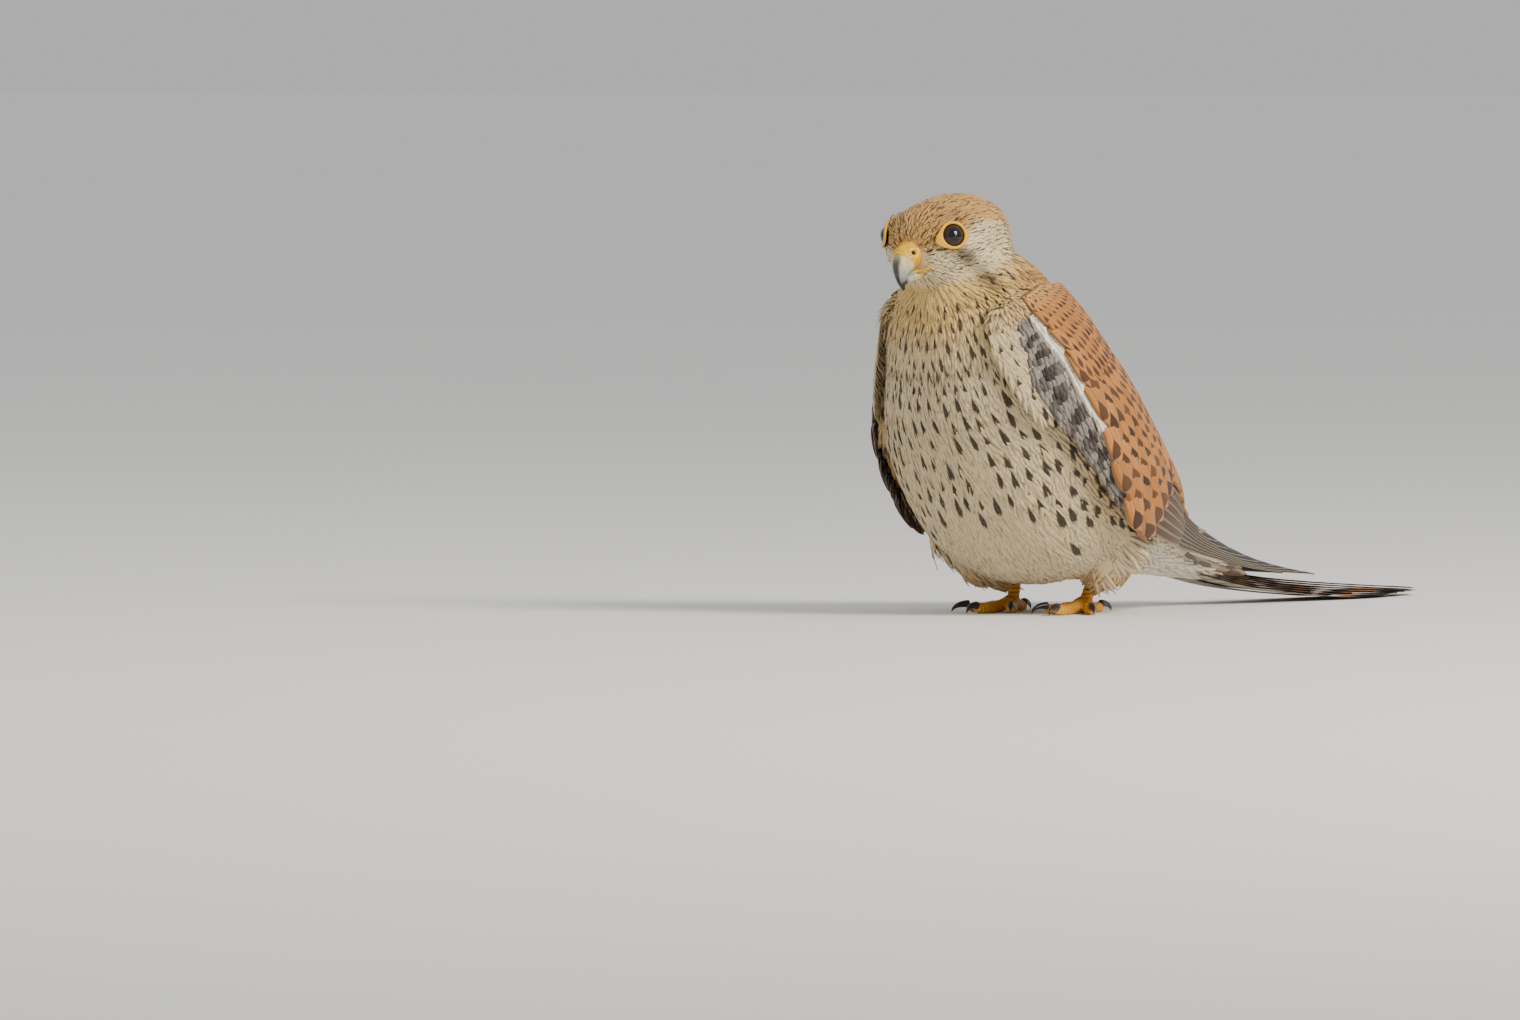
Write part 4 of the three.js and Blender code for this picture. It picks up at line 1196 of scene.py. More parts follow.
def coverts(name, side, first, last, step, lane, length, low, high, lift, seed, sections=8):
    """A patch of coverts as one object."""
    tips, lows, highs, draw = covert_rows(side, first, last, step, lane, low, high, seed)
    highs = np.minimum(highs, 1.03)
    middle = (lows + highs) / 2
    start = tips - length / WING_LENGTH
    one = np.ones(len(tips))
    lift = lift * (0.25 + 0.75 * ease(0.0, 0.16, tips))
    lift = lift * (0.5 + 0.5 * ease(0.0, 0.12, 1.05 - middle))
    top, out = laid_vanes(side, start, tips, lows, highs, lift, 1.0 * one, 0.2, sections, 0.4,
                          floor=coverts_edge)
    tint = wing_tone(tips, middle) * (1 + draw.normal(0, 0.07, (len(tips), 1)))
    mark = draw.uniform(0.8, 1, len(tips))
    obj = vane_object(name, top, out, 0.4 * one, np.clip(tint, 0, 1), mark,
                      wing_patch(side, tips, middle), draw)
    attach(obj, "root")
    return obj


covert_barbs = {"Strands": 7.0, "Barbs": 22.0, "Softness": 0.65}
small_mark = {"Start": 0.4, "Peak": 0.74, "End": 0.95, "Width": 0.22}
small_covert = plumage_material("small_coverts", "#211712", 0.95, small_mark, covert_barbs,
                                rim=0.12)
arrow = {"Start": 0.46, "Peak": 0.72, "End": 0.92, "Width": 0.43, "Chevron": -0.3}
large_covert = plumage_material("large_coverts", "#211712", 0.95, arrow, covert_barbs, rim=0.2)
bar = {"Start": 0.56, "Peak": 0.72, "End": 0.86, "Width": 0.52, "Chevron": -0.15}
tertial_finish = plumage_material("tertials", "#211712", 0.92, bar, covert_barbs, rim=0.25)
for label, side in SIDES:
    piece = coverts("lesser_coverts_" + label, side, 0.015, 0.2, 0.02, 4.4, 12.0, 0.0, 1.0, 1.5, 61)
    piece.data.materials.append(small_covert)
    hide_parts("wing_" + label)
    piece = coverts("greater_coverts_" + label, side, 0.19, 0.46, 0.027, 5.4, 16.0, -0.03, 1.0, 1.2,
                    63)
    piece.data.materials.append(large_covert)
    piece = coverts("tertials_" + label, side, 0.44, 0.66, 0.03, 6.4, 23.0, 0.38, 1.0, 1.45, 65, 10)
    piece.data.materials.append(tertial_finish)


def flight_material(name, ink, edge, stripe):
    """A flight feather: its tint, a dark stripe of ink down the middle, thin pale edges, the fine
    slanting barbs and the ridge of the shaft."""
    made, tree, shader = new_material(name)
    aside = vane_place(tree)[0]
    tint = stored(tree, "tint", "Color")
    lines = place_group(tree, BARBS, Strands=9.0, Barbs=90.0, Softness=0.45)
    dark = mixed(tree, stepped(tree, aside, stripe, stripe + 0.12, 0.85, 0.0), tint, rgba(ink))
    shade = maths(tree, "MULTIPLY", lines.outputs["Shade"], 0.35)
    dark = mixed(tree, shade, dark, rgba(ink))
    rim = maths(tree, "MULTIPLY", stepped(tree, aside, 0.4, 0.47), 0.9)
    tree.links.new(mixed(tree, rim, dark, rgba(edge)), shader.inputs["Base Color"])
    shaft = stepped(tree, aside, 0.0, 0.05, 1.0, 0.0)
    height = maths(tree, "ADD", lines.outputs["Height"], shaft)
    bumped(tree, shader, height, 0.3, 0.0004)
    shader.inputs["Roughness"].default_value = 0.5
    shader.inputs["Sheen Weight"].default_value = 0.08
    return made


def flight_feathers(name, side, count, start, tip_first, tip_last, low, step, wide, lift, climb,
                    tone, tip, seed, tilt=0.3):
    """Long feathers side by side in lanes step apart across the wing: their tips run from
    tip_first to tip_last, each lies climb higher than the one below it, and tilt raises its
    upper edge."""
    draw = np.random.default_rng(seed + side)
    k = np.arange(count)
    ends = np.linspace(tip_first, tip_last, count) + draw.uniform(-0.003, 0.003, count)
    lows = low + step * k
    one = np.ones(count)
    top, out = laid_vanes(side, start * one, ends, lows, np.minimum(lows + wide, 1.02),
                          lift + climb * k, 2.5 * one, tilt, 20, tip)
    tint = tone * (1 + draw.normal(0, 0.06, (count, 1)))
    obj = vane_object(name, top, out, 0.5 * one, np.clip(tint, 0, 1), 0 * one,
                      wing_patch(side, ends * 0.5, lows), draw)
    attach(obj, "root")
    return obj


SECONDARY = linear("#7a5233")
secondary_finish = flight_material("secondaries", "#33251c", "#d8b98c", 0.3)
primary_finish = flight_material("primaries", "#1c1613", "#b8a78c", 0.4)
for label, side in SIDES:
    piece = flight_feathers("secondaries_" + label, side, 12, 0.36, 0.565, 0.66, -0.02, 0.048, 0.2,
                            0.1, 0.0, SECONDARY, 0.12, 71, -0.6)
    piece.data.materials.append(secondary_finish)
    piece = flight_feathers("primaries_" + label, side, 9, 0.5, 1.0, 0.74, -0.04, 0.055, 0.5,
                            -1.9, 0.3, DUSK, 0.16, 73)
    piece.data.materials.append(primary_finish)


def laid_plumage(name, side, w, v, rise, length, width, tint, mark, seed, turned_by=0.0, blades=2,
                 lift=0.9, droop=60.0):
    """Small feathers rooted on a wing's face at w and v, lying back along it."""
    root, out, way = wing_place(side, w, v, rise)
    across = unit(np.cross(way, out)) * side
    way = unit(way + across * turned_by)
    one = np.ones(len(w))
    obj = plumage(name + ("_left" if side > 0 else "_right"), root, way, out, length * one,
                  width * one, lift * one - rise * (rise < 0), droop * one, tint, mark * one,
                  wing_patch(side, w, v), seed, blades)
    return obj


def wing_front(side, seed):
    """What lies in front of the coverts on a wing's face: breast feathers over the wrist, the
    lining, pale feathers painted darker grey as shade, with its row of dark blotches, and the small
    cream feathers of the edge, brightened to near white as a painted highlight."""

    def face(w, v):
        """A point on the wing's face."""
        return wing_place(side, w, v)[0]

    draw = np.random.default_rng(seed)
    w, v = rows(face, -0.01, 0.42, 2.3, 2.0, seed, -0.06, 0.52)
    share = (v - lining_edge(w)) / np.maximum(0.03, cream_edge(w) - lining_edge(w))
    kept = (share > 0) & (share < 1.1) & (w > 0.03)
    wl, vl, q = w[kept], v[kept], share[kept]
    wave = np.sin(2 * np.pi * (wl / 0.03 + 0.6 * q)) + draw.normal(0, 0.25, len(wl))
    blotch = np.exp(-(((q - 0.42) / 0.38) ** 2)) * ease(-0.5, 0.1, wave)
    # painted shade: the lining's grey stands in for shade, turning to the edge's painted highlight
    # at its top
    tint = blended(LINING_AND_SHADE, CREAM_AND_HIGHLIGHT, ease(0.75, 1.0, q))
    tint = blended(tint, DUSK, 0.95 * blotch * ease(0.05, 0.09, wl))
    lining = laid_plumage("wing_lining", side, wl, vl, -0.8, 6.5, 3.2, tint, 0.0, seed + 1,
                          lift=0.4)
    lining.data.materials.append(plain_finish)
    kept = (share <= 0.15) & (w < 0.2) & (w > 0.005)
    wb, vb = w[kept], v[kept]
    tint = np.broadcast_to(TONES["breast"], (len(wb), 3))
    cover = laid_plumage("wrist_feathers", side, wb, vb, -0.9, 7.5, 3.8, tint, 0.0, seed + 2, -0.2,
                         lift=0.1, droop=17.0, blades=4)
    wm, vm = rows(face, 0.03, 0.2, 6.6, 5.2, seed + 9, -0.05, 0.4)
    root, out, way = wing_place(side, wm, vm)
    one = np.ones(len(wm))
    marks = (root, way, unit(np.cross(way, out)), 1.5 * one, 3.2 * one, one)
    store_marks(cover, 4 * len(wb), marks)
    cover.data.materials.append(front_finish)
    count = 44
    for n in range(3):
        w = np.linspace(0.06, 0.31, count) + draw.uniform(-0.002, 0.002, count)
        v = cream_edge(w) + 0.016 * n * np.interp(w, [0.1, 0.2, 0.4], [1.5, 1.5, 0.7])
        # painted highlight: the edge coverts take the cream that is brightened to near white
        tint = blended(CREAM_AND_HIGHLIGHT, CHESTNUT, 0.06 * n * np.ones(count))
        edge = laid_plumage(f"edge_coverts_{n}", side, w, v, 0.6, 9.0, 3.6, tint, 0.0, seed + 3 + n)
        edge.data.materials.append(plain_finish)


plain_finish = plumage_material("plain_plumage", "#4a3a2c")
wing_front(1, 81)
wing_front(-1, 82)


# The tail. Twelve stiff feathers, a pair over the middle and five to each side under it, each a
# little shorter and lower than the last. Chestnut and barred above, greyer below, with a broad
# black band before the pale tips. It lies along the floor behind the bird.
TAIL_ROOT = 0.7
TAIL_HALF = 16.0
TAIL_STEP = 0.85


def tail_half(share):
    """Half the tail's width: 8 at the root, growing by a power of 0.6 to its full width."""
    return 8 + (TAIL_HALF - 8) * np.clip(share, 0, 1) ** 0.6


def tail_object():
    """The twelve tail feathers as vanes on the spine, from the root at 0 to the tip at 1."""
    edges = [(-8.5, 7.5, 0.8, 1.0), (-7.5, 8.5, 0.0, 0.99)]
    for k in range(1, 6):
        inner, outer = 0.5 + 0.5 * k, 9.4 + (TAIL_HALF - 9.4) * k / 5
        edges += [(inner, outer, -TAIL_STEP * k, 0.985 - 0.022 * k)]
        edges += [(-outer, -inner, -TAIL_STEP * k, 0.985 - 0.022 * k)]
    inner, outer, up, length = np.array(edges).T
    u = np.linspace(0, 1, 30)
    x = np.linspace(-1, 1, 7)
    share = length[:, None] * u
    fan = tail_half(share) / TAIL_HALF
    tip = np.maximum(0.05, np.sqrt(np.clip(1 - u**14, 0, 1)))
    half = ((outer - inner) / 2)[:, None, None]
    across = ((inner + outer) / 2)[:, None, None] + x * tip[:, None] * half
    across = across * fan[..., None]
    middle, _, left, back, _ = spine_frame(TAIL_ROOT + (1 - TAIL_ROOT) * share)
    room = np.clip((middle[..., 2] - 1.0) / (5 * TAIL_STEP), 0.1, 1)
    up = up[:, None] * np.where(up[:, None] < 0, room, 1)
    rise = (up * np.interp(u, [0, 0.12], [0.8, 1]) - 0.1)[..., None] + 0.25 * (1 - x**2)
    top = middle[:, :, None] + left[:, :, None] * across[..., None]
    top = top + back[:, :, None] * rise[..., None]
    out = np.broadcast_to(back[:, :, None], top.shape)
    draw = np.random.default_rng(91)
    tint = linear("#9c6a43") * (1 + draw.normal(0, 0.05, (12, 1)))
    patch = np.stack([np.full(12, 0.97), 0.04 * np.arange(12) + 0.02], -1)
    return vane_object("tail_vanes", top, out, np.full(12, 0.5), tint, np.zeros(12), patch, draw)


def tail_material():
    """Barred above and below: the bars are a wave along the feather, the last band is broad."""
    made, tree, shader = new_material("tail_vanes")
    aside, along, _ = vane_place(tree)
    tint = stored(tree, "tint", "Color")
    below = stored(tree, "below")
    lines = place_group(tree, BARBS, Strands=10.0, Barbs=150.0, Softness=0.4)
    phase = maths(tree, "SUBTRACT", along, maths(tree, "MULTIPLY", aside, 0.03))
    wave = maths(tree, "SINE", maths(tree, "MULTIPLY", phase, 2 * np.pi / 0.078))
    bars = maths(tree, "MULTIPLY", stepped(tree, wave, 0.25, 0.6), stepped(tree, along, 0.86, 0.85))
    bars = maths(tree, "MULTIPLY", bars, stepped(tree, below, 0.0, 1.0, 0.85, 0.5))
    band = stepped(tree, phase, 0.872, 0.884)
    band = maths(tree, "MULTIPLY", band, stepped(tree, phase, 0.966, 0.955))
    base = mixed(tree, below, tint, rgba("#b3a690"))
    base = mixed(tree, stepped(tree, phase, 0.955, 0.967), base, rgba("#d9cbb0"))
    base = mixed(tree, maths(tree, "MULTIPLY", lines.outputs["Shade"], 0.18), base, rgba("#4a3526"))
    dark = mixed(tree, maths(tree, "MAXIMUM", bars, band), base, rgba("#241c18"))
    shaft = stepped(tree, aside, 0.006, 0.02, 1.0, 0.0)
    tree.links.new(mixed(tree, maths(tree, "MULTIPLY", shaft, 0.5), dark, rgba("#6b5240")),
                   shader.inputs["Base Color"])
    height = maths(tree, "ADD", lines.outputs["Height"], shaft)
    bumped(tree, shader, height, 0.3, 0.0004)
    shader.inputs["Roughness"].default_value = 0.5
    return made


tail = tail_object()
tail.data.materials.append(tail_material())
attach(tail, "root")
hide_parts("tail_feathers")


# The eyes. A falcon's eye is a large globe, dark brown round a black pupil and wet in front,
# held by a ring of bare yellow skin that widens into a patch in front of it.
EYE_RADIUS = 5.6
LID_INSIDE = 4.12  # radius of the opening between the lids
LID_HALF = 0.58  # half the breadth of the ring of skin


def basis(way, ahead):
    """Two directions square to a way: one nearest to ahead, and the other across."""
    first = unit(ahead - way * (ahead @ way))
    return first, np.cross(way, first)


def surface_object(name, grid):
    """A grid of points, closed round its second direction, as an object: its ends are closed by
    fans, and its map holds the share round in x and the share along in y."""
    points, faces = tube_faces(grid)
    if signed_volume(points - points.mean(0), faces) < 0:
        faces = [f[::-1] for f in faces]
    obj = object_of(name, points, faces)
    n, m = grid.shape[:2]
    along = np.concatenate([np.repeat(np.linspace(0, 1, n), m), [0, 1]])
    around = np.concatenate([np.tile(np.linspace(0, 1, m, endpoint=False), n), [0.5, 0.5]])
    corners = np.empty(len(obj.data.loops), int)
    obj.data.loops.foreach_get("vertex_index", corners)
    layer = obj.data.uv_layers.new(name="Vane")
    layer.data.foreach_set("uv", np.stack([around, along], -1)[corners].ravel())
    return obj


def eye_material():
    """The eye by its map's y, the share of half a turn from the way that it looks: pupil, iris
    and the dark edge under the lids, all under a wet coat."""
    made, tree, shader = new_material("eye")
    place = node(tree, "ShaderNodeUVMap", uv_map="Vane").outputs[0]
    split = node(tree, "ShaderNodeSeparateXYZ", {0: place})
    iris = mixed(tree, noise(tree, place, 60.0), rgba("#180b06"), rgba("#3a1d0f"))
    colour = mixed(tree, stepped(tree, split.outputs[1], 0.125, 0.14), rgba("#050303"), iris)
    colour = mixed(tree, stepped(tree, split.outputs[1], 0.2, 0.24), colour, rgba("#0a0605"))
    tree.links.new(colour, shader.inputs["Base Color"])
    shader.inputs["Roughness"].default_value = 0.15
    shader.inputs["Specular IOR Level"].default_value = 0.2
    shader.inputs["Coat Weight"].default_value = 0.55
    shader.inputs["Coat Roughness"].default_value = 0.02
    return made


def cell_edges(tree, place, scale):
    """How far each place is from the edges of the round cells of a scale."""
    inputs = {"Vector": place, "Scale": scale}
    made = node(tree, "ShaderNodeTexVoronoi", inputs, feature="DISTANCE_TO_EDGE")
    return made.outputs["Distance"]


def yellow_skin(name, colour, deeper_tone_and_shade, scale):
    """Bare waxy skin: a warm yellow, finely wrinkled, with painted shade darkening its creases."""
    made, tree, shader = new_material(name)
    place = node(tree, "ShaderNodeTexCoord").outputs["Object"]
    crease = stepped(tree, cell_edges(tree, place, scale), 0.0, 0.12)
    base = mixed(tree, noise(tree, place, scale / 4, 3.0), rgba(deeper_tone_and_shade), rgba(colour))
    # painted shade: the creases are painted the deeper yellow
    tree.links.new(mixed(tree, crease, rgba(deeper_tone_and_shade), base), shader.inputs["Base Color"])
    bumped(tree, shader, crease, 0.35, 0.0002)
    shader.inputs["Roughness"].default_value = 0.42
    shader.inputs["Subsurface Weight"].default_value = 0.08
    shader.inputs["Subsurface Scale"].default_value = 0.001
    return made


def around_way(way, turn):
    """Directions square to a way, turned round it from the head's own front."""
    first, second = basis(way, HEAD_AXES[1])
    return first * np.cos(turn)[..., None] + second * np.sin(turn)[..., None]


def globe_grid(centre, look):
    """An eyeball: its radius is raised in front by a bell curve of the angle from its way."""
    polar, turn = ring_grid(40, 64)
    polar = polar * np.pi
    radius = EYE_RADIUS + 0.35 * np.exp(-((polar / 0.55) ** 2))
    shell = look * np.cos(polar)[..., None] + np.sin(polar)[..., None] * around_way(look, turn)
    return centre + shell * radius[..., None]


def lid_grid(middle, look):
    """The ring of skin round an eye: a flat oval section carried round it, broader by a bell
    curve of the turn towards the front corner, where it also lies back."""
    turn = np.linspace(0, 2 * np.pi, 72, endpoint=False)[:, None]
    section = np.linspace(0, 2 * np.pi, 16, endpoint=False)[None, :]
    drop = HEAD_AXES[2] @ basis(look, HEAD_AXES[1])[1]
    corner = np.arctan2(0.15 * np.sign(drop), 0.99)
    front = np.exp(-((((turn - corner + np.pi) % (2 * np.pi) - np.pi) / 0.5) ** 2))
    half = LID_HALF + 0.95 * front
    out = LID_INSIDE + half + half * np.cos(section)
    rise = 0.6 * np.sin(section) * (1 - 0.3 * front) - 0.25 * (out - 4) * (0.3 + front)
    return middle + around_way(look, turn) * out[..., None] + look * rise[..., None]


def ring_object(name, rings):
    """A grid of points that closes on itself both ways, as an object with no ends."""
    n, m = rings.shape[:2]
    i, j = np.meshgrid(np.arange(n), np.arange(m), indexing="ij")
    next_i, next_j = (i + 1) % n, (j + 1) % m
    corners = [i * m + j, i * m + next_j, next_i * m + next_j, next_i * m + j]
    faces = np.stack(corners, -1).reshape(-1, 4).tolist()
    points = rings.reshape(-1, 3)
    if signed_volume(points - points.mean(0), faces) < 0:
        faces = [f[::-1] for f in faces]
    return object_of(name, points, faces)


eye_finish = eye_material()
lid_finish = yellow_skin("eye_ring", "#f2b800", "#d99a00", 2400.0)
for label, side in SIDES:
    ring_middle, look = eye_ring(side)
    globe = surface_object("eyeball_" + label, globe_grid(ring_middle - look * LID_LIFT, look))
    globe.data.materials.append(eye_finish)
    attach(globe, "root")
    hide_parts("eye_" + label)
    lid = ring_object("lids_" + label, lid_grid(ring_middle, look))
    lid.data.materials.append(lid_finish)
    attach(lid, "root")
    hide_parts("eyelid_" + label)


# The bill. Horn over bone: pale at the side, slate along the ridge and at the hooked tip, with
# the yellow cere over its base, where the nostrils are, and yellow skin at the mouth's corner.
# forward, up, slope in degrees, half width, half height
BILL = np.array(
    [
        [15, 2.2, -8, 6.4, 4.9],
        [18.5, 2.1, -12, 5.6, 4.9],
        [22, 1.4, -24, 4.8, 4.7],
        [24.7, -0.4, -46, 3.8, 3.8],
        [26.1, -3, -72, 2.5, 2.4],
        [26.6, -5.6, -90, 1.4, 1.4],
        [26.3, -8.4, -102, 0.4, 0.4],
    ]
)
LOWER_BILL = np.array(
    [[12, -4.2, 5.4, 2.6], [17.5, -4.9, 4.6, 2.5], [21.5, -5.3, 3.6, 2.3], [24.4, -5.5, 2.1, 1.6],
     [25.5, -5.4, 1, 0.8]]
)
NOSTRIL = np.array([4.4, 20.8, 4.2])
CERE_END = 0.34


def bill_grid(first, last, count, around, grow=0.0):
    """The upper bill between two shares of its length, in the head's own frame: ellipses square
    to its slope. Returns the points, the share along and the turn round from the left side."""
    share = np.linspace(first, last, count)
    row = along_table(BILL, share)
    turn = np.linspace(0, 2 * np.pi, around, endpoint=False)[None, :]
    slope = np.radians(row[:, 2])
    rise = np.stack([0 * slope, -np.sin(slope), np.cos(slope)], -1)
    middle = np.stack([0 * slope, row[:, 0], row[:, 1]], -1)
    wide = (row[:, 3] + grow)[:, None] * np.cos(turn) * (1 - 0.12 * np.clip(np.sin(turn), 0, 1))
    high = (row[:, 4] + grow)[:, None] * np.sin(turn)
    points = middle[:, None] + rise[:, None] * high[..., None]
    points[..., 0] += wide
    return points, share[:, None] + 0 * turn, turn + 0 * share[:, None]


def tinted_material(name, roughness, scale, bump):
    """A surface coloured by its own tint, faintly streaked, with fine growth lines."""
    made, tree, shader = new_material(name)
    tint = stored(tree, "tint", "Color")
    place = node(tree, "ShaderNodeTexCoord").outputs["Object"]
    cloud = noise(tree, place, scale, 4.0)
    dark = multiplied(tree, 1.0, tint, (0.72, 0.7, 0.68, 1.0))
    colour = mixed(tree, stepped(tree, cloud, 0.35, 0.65), dark, tint)
    tree.links.new(colour, shader.inputs["Base Color"])
    bumped(tree, shader, cloud, bump, 0.0002)
    shader.inputs["Roughness"].default_value = roughness
    return made


def tinted(name, grid, tone, material, slot, *nodes):
    """A closed grid in the head's own frame as a piece, with one colour for each point."""
    obj = surface_object(name, from_head(grid.reshape(-1, 3)).reshape(grid.shape))
    ends = np.stack([tone[0].mean(0), tone[-1].mean(0)])
    set_attribute(obj.data, "tint", "FLOAT_COLOR", "POINT",
                  with_alpha(np.vstack([tone.reshape(-1, 3), ends])))
    obj.data.materials.append(material)
    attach(obj, "root")
    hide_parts(*nodes)
    return obj


horn_finish = tinted_material("bill_horn", 0.3, 500.0, 0.15)
wax_finish = tinted_material("cere_wax", 0.45, 900.0, 0.3)
grid, share, turn = bill_grid(0.3, 1.0, 70, 56)
ridge = ease(0.82, 0.97, np.sin(turn)) * ease(0.3, 0.5, share)
tip = ease(0.66, 0.86, share)
tone = blended(linear("#d8cf9c"), linear("#8f9096"), 0.75 * ease(0.42, 0.62, share))
tone = blended(tone, linear("#1d1c22"), np.clip(tip + 0.9 * ridge, 0, 1))
tinted("upper_bill", grid, tone, horn_finish, "horn", "bill_upper")

grid, share, turn = bill_grid(0.05, CERE_END + 0.03, 70, 110, 0.18)
row_normal = unit(grid - grid.mean(1, keepdims=True))
tone = blended(linear("#d98c00"), linear("#f0b400"), 0.5 + 0.5 * np.sin(turn))
for side in (1, -1):
    away = np.linalg.norm(grid - NOSTRIL * [side, 1, 1], axis=-1)
    pit = 1.5 * np.exp(-((away / 0.85) ** 2)) - 0.3 * np.exp(-(((away - 1.45) / 0.4) ** 2))
    grid = grid - row_normal * pit[..., None]
    # painted shade: the middle of each nostril's pit is painted near black for the shade in its
    # opening
    tone = blended(tone, linear("#1e120a"), 1 - ease(0.7, 1.05, away))
    tone = blended(tone, linear("#f7d65a"), 0.7 * np.exp(-(((away - 1.5) / 0.4) ** 2)))
tinted("cere_skin", grid, tone, wax_finish, "skin", "cere")

row = along_table(LOWER_BILL, np.linspace(0, 1, 40))
turn = np.linspace(0, 2 * np.pi, 40, endpoint=False)[None, :]
rise = row[:, 1:2] + row[:, 3:] * np.sin(turn)
grid = np.stack([row[:, 2:3] * np.cos(turn), row[:, :1] + 0 * turn, rise], -1)
share = np.linspace(0, 1, 40)[:, None] + 0 * turn
tone = blended(linear("#dcc45a"), linear("#a9a290"), ease(0.35, 0.6, share))
tone = blended(tone, linear("#2b2a2e"), ease(0.7, 0.95, share))
tinted("lower_bill", grid, tone, horn_finish, "horn", "bill_lower")

GAPE = np.array([[4.4, 20.4, -3.4], [6.7, 18.9, -3.1], [8.4, 17.1, -2.4], [9.5, 15.6, -1.6]])
for label, side in SIDES:
    share = np.linspace(0, 1, 24)
    path = along_table(GAPE, share) * [side, 1, 1]
    radii = np.interp(share, [0, 0.6, 1], [0.5, 0.45, 0.15])
    rings = tube_rings(from_head(path), radii, 14)
    corner = surface_object("mouth_corner_" + label, rings)
    corner.data.materials.append(lid_finish)
    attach(corner, "root")


# The feet. Four scaly yellow toes on each, three forward and one back, on pads that press flat
# on the floor, and the lower end of the bare shank that comes out of the thigh's feathers.
FOOT_SPREAD = 15.0
PRESS = 0.4  # height under which the soles are pressed flat
SHANK_START = 5.5  # height at which the toes end and the shank starts
ANKLE = np.array([18.0, 12.0, 28.0])
BALL_HEIGHT = 2.9
BALL_RADIUS = 3.4
SHANK_RADIUS = 2.3
# name, length, degrees outwards from straight ahead, radius
TOES = (
    ("inner", 17, -26, 2.1),
    ("middle", 25, 4, 2.2),
    ("outer", 18, 36, 2.0),
    ("hind", 11, 174, 2.1),
)
CLAW_LENGTH = 10.0
CLAW_RADIUS = 1.5


def toe_way(side, splay):
    """The level direction of a toe, splay degrees outwards from straight ahead."""
    angle = np.radians(splay)
    return np.array([np.sin(angle) * side, -np.cos(angle), 0.0])


def toe_rings(side, length, splay, thick):
    """A toe from the ball of the foot to its claw: a tube that swells at its pads."""
    start = FEET + [FOOT_SPREAD * side, 0, 0]
    share = np.linspace(0, 1, 30)
    height = np.interp(share, [0, 0.3, 0.6, 0.85, 1], [3.9, 2.5, 1.8, 1.6, 2.1])
    radius = thick * np.interp(share, [0, 0.3, 0.6, 0.85, 1], [1.25, 1.02, 0.96, 1.0, 0.7])
    radius = radius * (1 + 0.07 * np.sin(share * length * 0.9))
    path = start + toe_way(side, splay) * (length * share)[:, None]
    path[:, 2] = height
    return tube_rings(path, radius, 18)


def foot_object(label, side):
    """Toes, pad and shank fused into one skin that stops at the floor."""
    ball = FEET + [FOOT_SPREAD * side, 0, BALL_HEIGHT]
    parts = [tube_object("toe", toe_rings(side, *size[1:])) for size in TOES]
    ankle = ANKLE * [side, 1, 1] + FEET
    path = ball + (ankle - ball) * np.linspace(0, 1, 12)[:, None]
    shank = tube_rings(path, np.full(12, SHANK_RADIUS), 18, (1, 0, 0))
    parts.append(tube_object("shank", shank))
    polar, around = ring_grid(16, 24)
    polar = polar * np.pi
    shell = np.stack([np.sin(polar) * np.cos(around), np.sin(polar) * np.sin(around),
                      np.cos(polar) + 0 * around], -1)
    parts.append(tube_object("pad", ball + shell * BALL_RADIUS))
    foot = fused("toes_" + label, parts, 0.5, 3)
    points = mesh_points(foot) / MM
    height = points[:, 2]
    pressed = PRESS * np.exp((height - PRESS) / PRESS)
    points[:, 2] = np.where(height < PRESS, pressed, height)
    foot.data.vertices.foreach_set("co", (points * MM).ravel())
    best, along = np.full(len(points), 1e9), np.zeros(len(points))
    for n, (_, length, splay, _) in enumerate(TOES):
        way = toe_way(side, splay)
        run = (points - ball) @ way
        off = np.linalg.norm(points - ball - way * np.clip(run, 0, length)[:, None], axis=1)
        near = off < best
        best, along = np.where(near, off, best), np.where(near, run + 40 * n, along)
    along = np.where(points[:, 2] > SHANK_START, points[:, 2], along)
    set_attribute(foot.data, "scale", "FLOAT", "POINT", along)
    foot.data.update()
    return foot


def toe_material():
    """Orange-yellow scales: plates across the top of each toe, as a wave of the distance along it,
    and small round ones elsewhere, with painted shade darkening the grooves between them."""
    made, tree, shader = new_material("toe_scales")
    place = node(tree, "ShaderNodeTexCoord").outputs["Object"]
    along = stored(tree, "scale")
    wave = maths(tree, "SINE", maths(tree, "MULTIPLY", along, 2 * np.pi / 1.5))
    plate = stepped(tree, wave, -0.95, -0.4)
    grain = stepped(tree, cell_edges(tree, place, 900.0), 0.0, 0.15)
    grain = maths(tree, "ADD", maths(tree, "MULTIPLY", grain, 0.4), 0.6)
    height = maths(tree, "MULTIPLY", plate, grain)
    base = mixed(tree, noise(tree, place, 260.0, 3.0), rgba("#e2951f"), rgba("#f5bb3e"))
    # painted shade: dark brown where the height is low, in the grooves between the scales
    tree.links.new(mixed(tree, height, rgba("#8a5418"), base), shader.inputs["Base Color"])
    bumped(tree, shader, height, 0.6, 0.0003)
    shader.inputs["Roughness"].default_value = 0.45
    return made


def claw_rings(side, length, splay):
    """A claw: a cone bent through a quarter turn from the toe's end down to the floor."""
    start = FEET + [FOOT_SPREAD * side, 0, 0]
    share = np.linspace(0, 1, 22)
    turn = share * np.radians(88)
    reach = length + 0.2 + CLAW_LENGTH * 0.684 * np.sin(turn)
    path = start + toe_way(side, splay) * reach[:, None]
    path[:, 2] = 3.1 - CLAW_LENGTH * 0.3 * (1 - np.cos(turn)) + 0.9 * share * (1 - share)
    return tube_rings(path, np.maximum(0.12, CLAW_RADIUS * (1 - share) ** 0.8), 14)


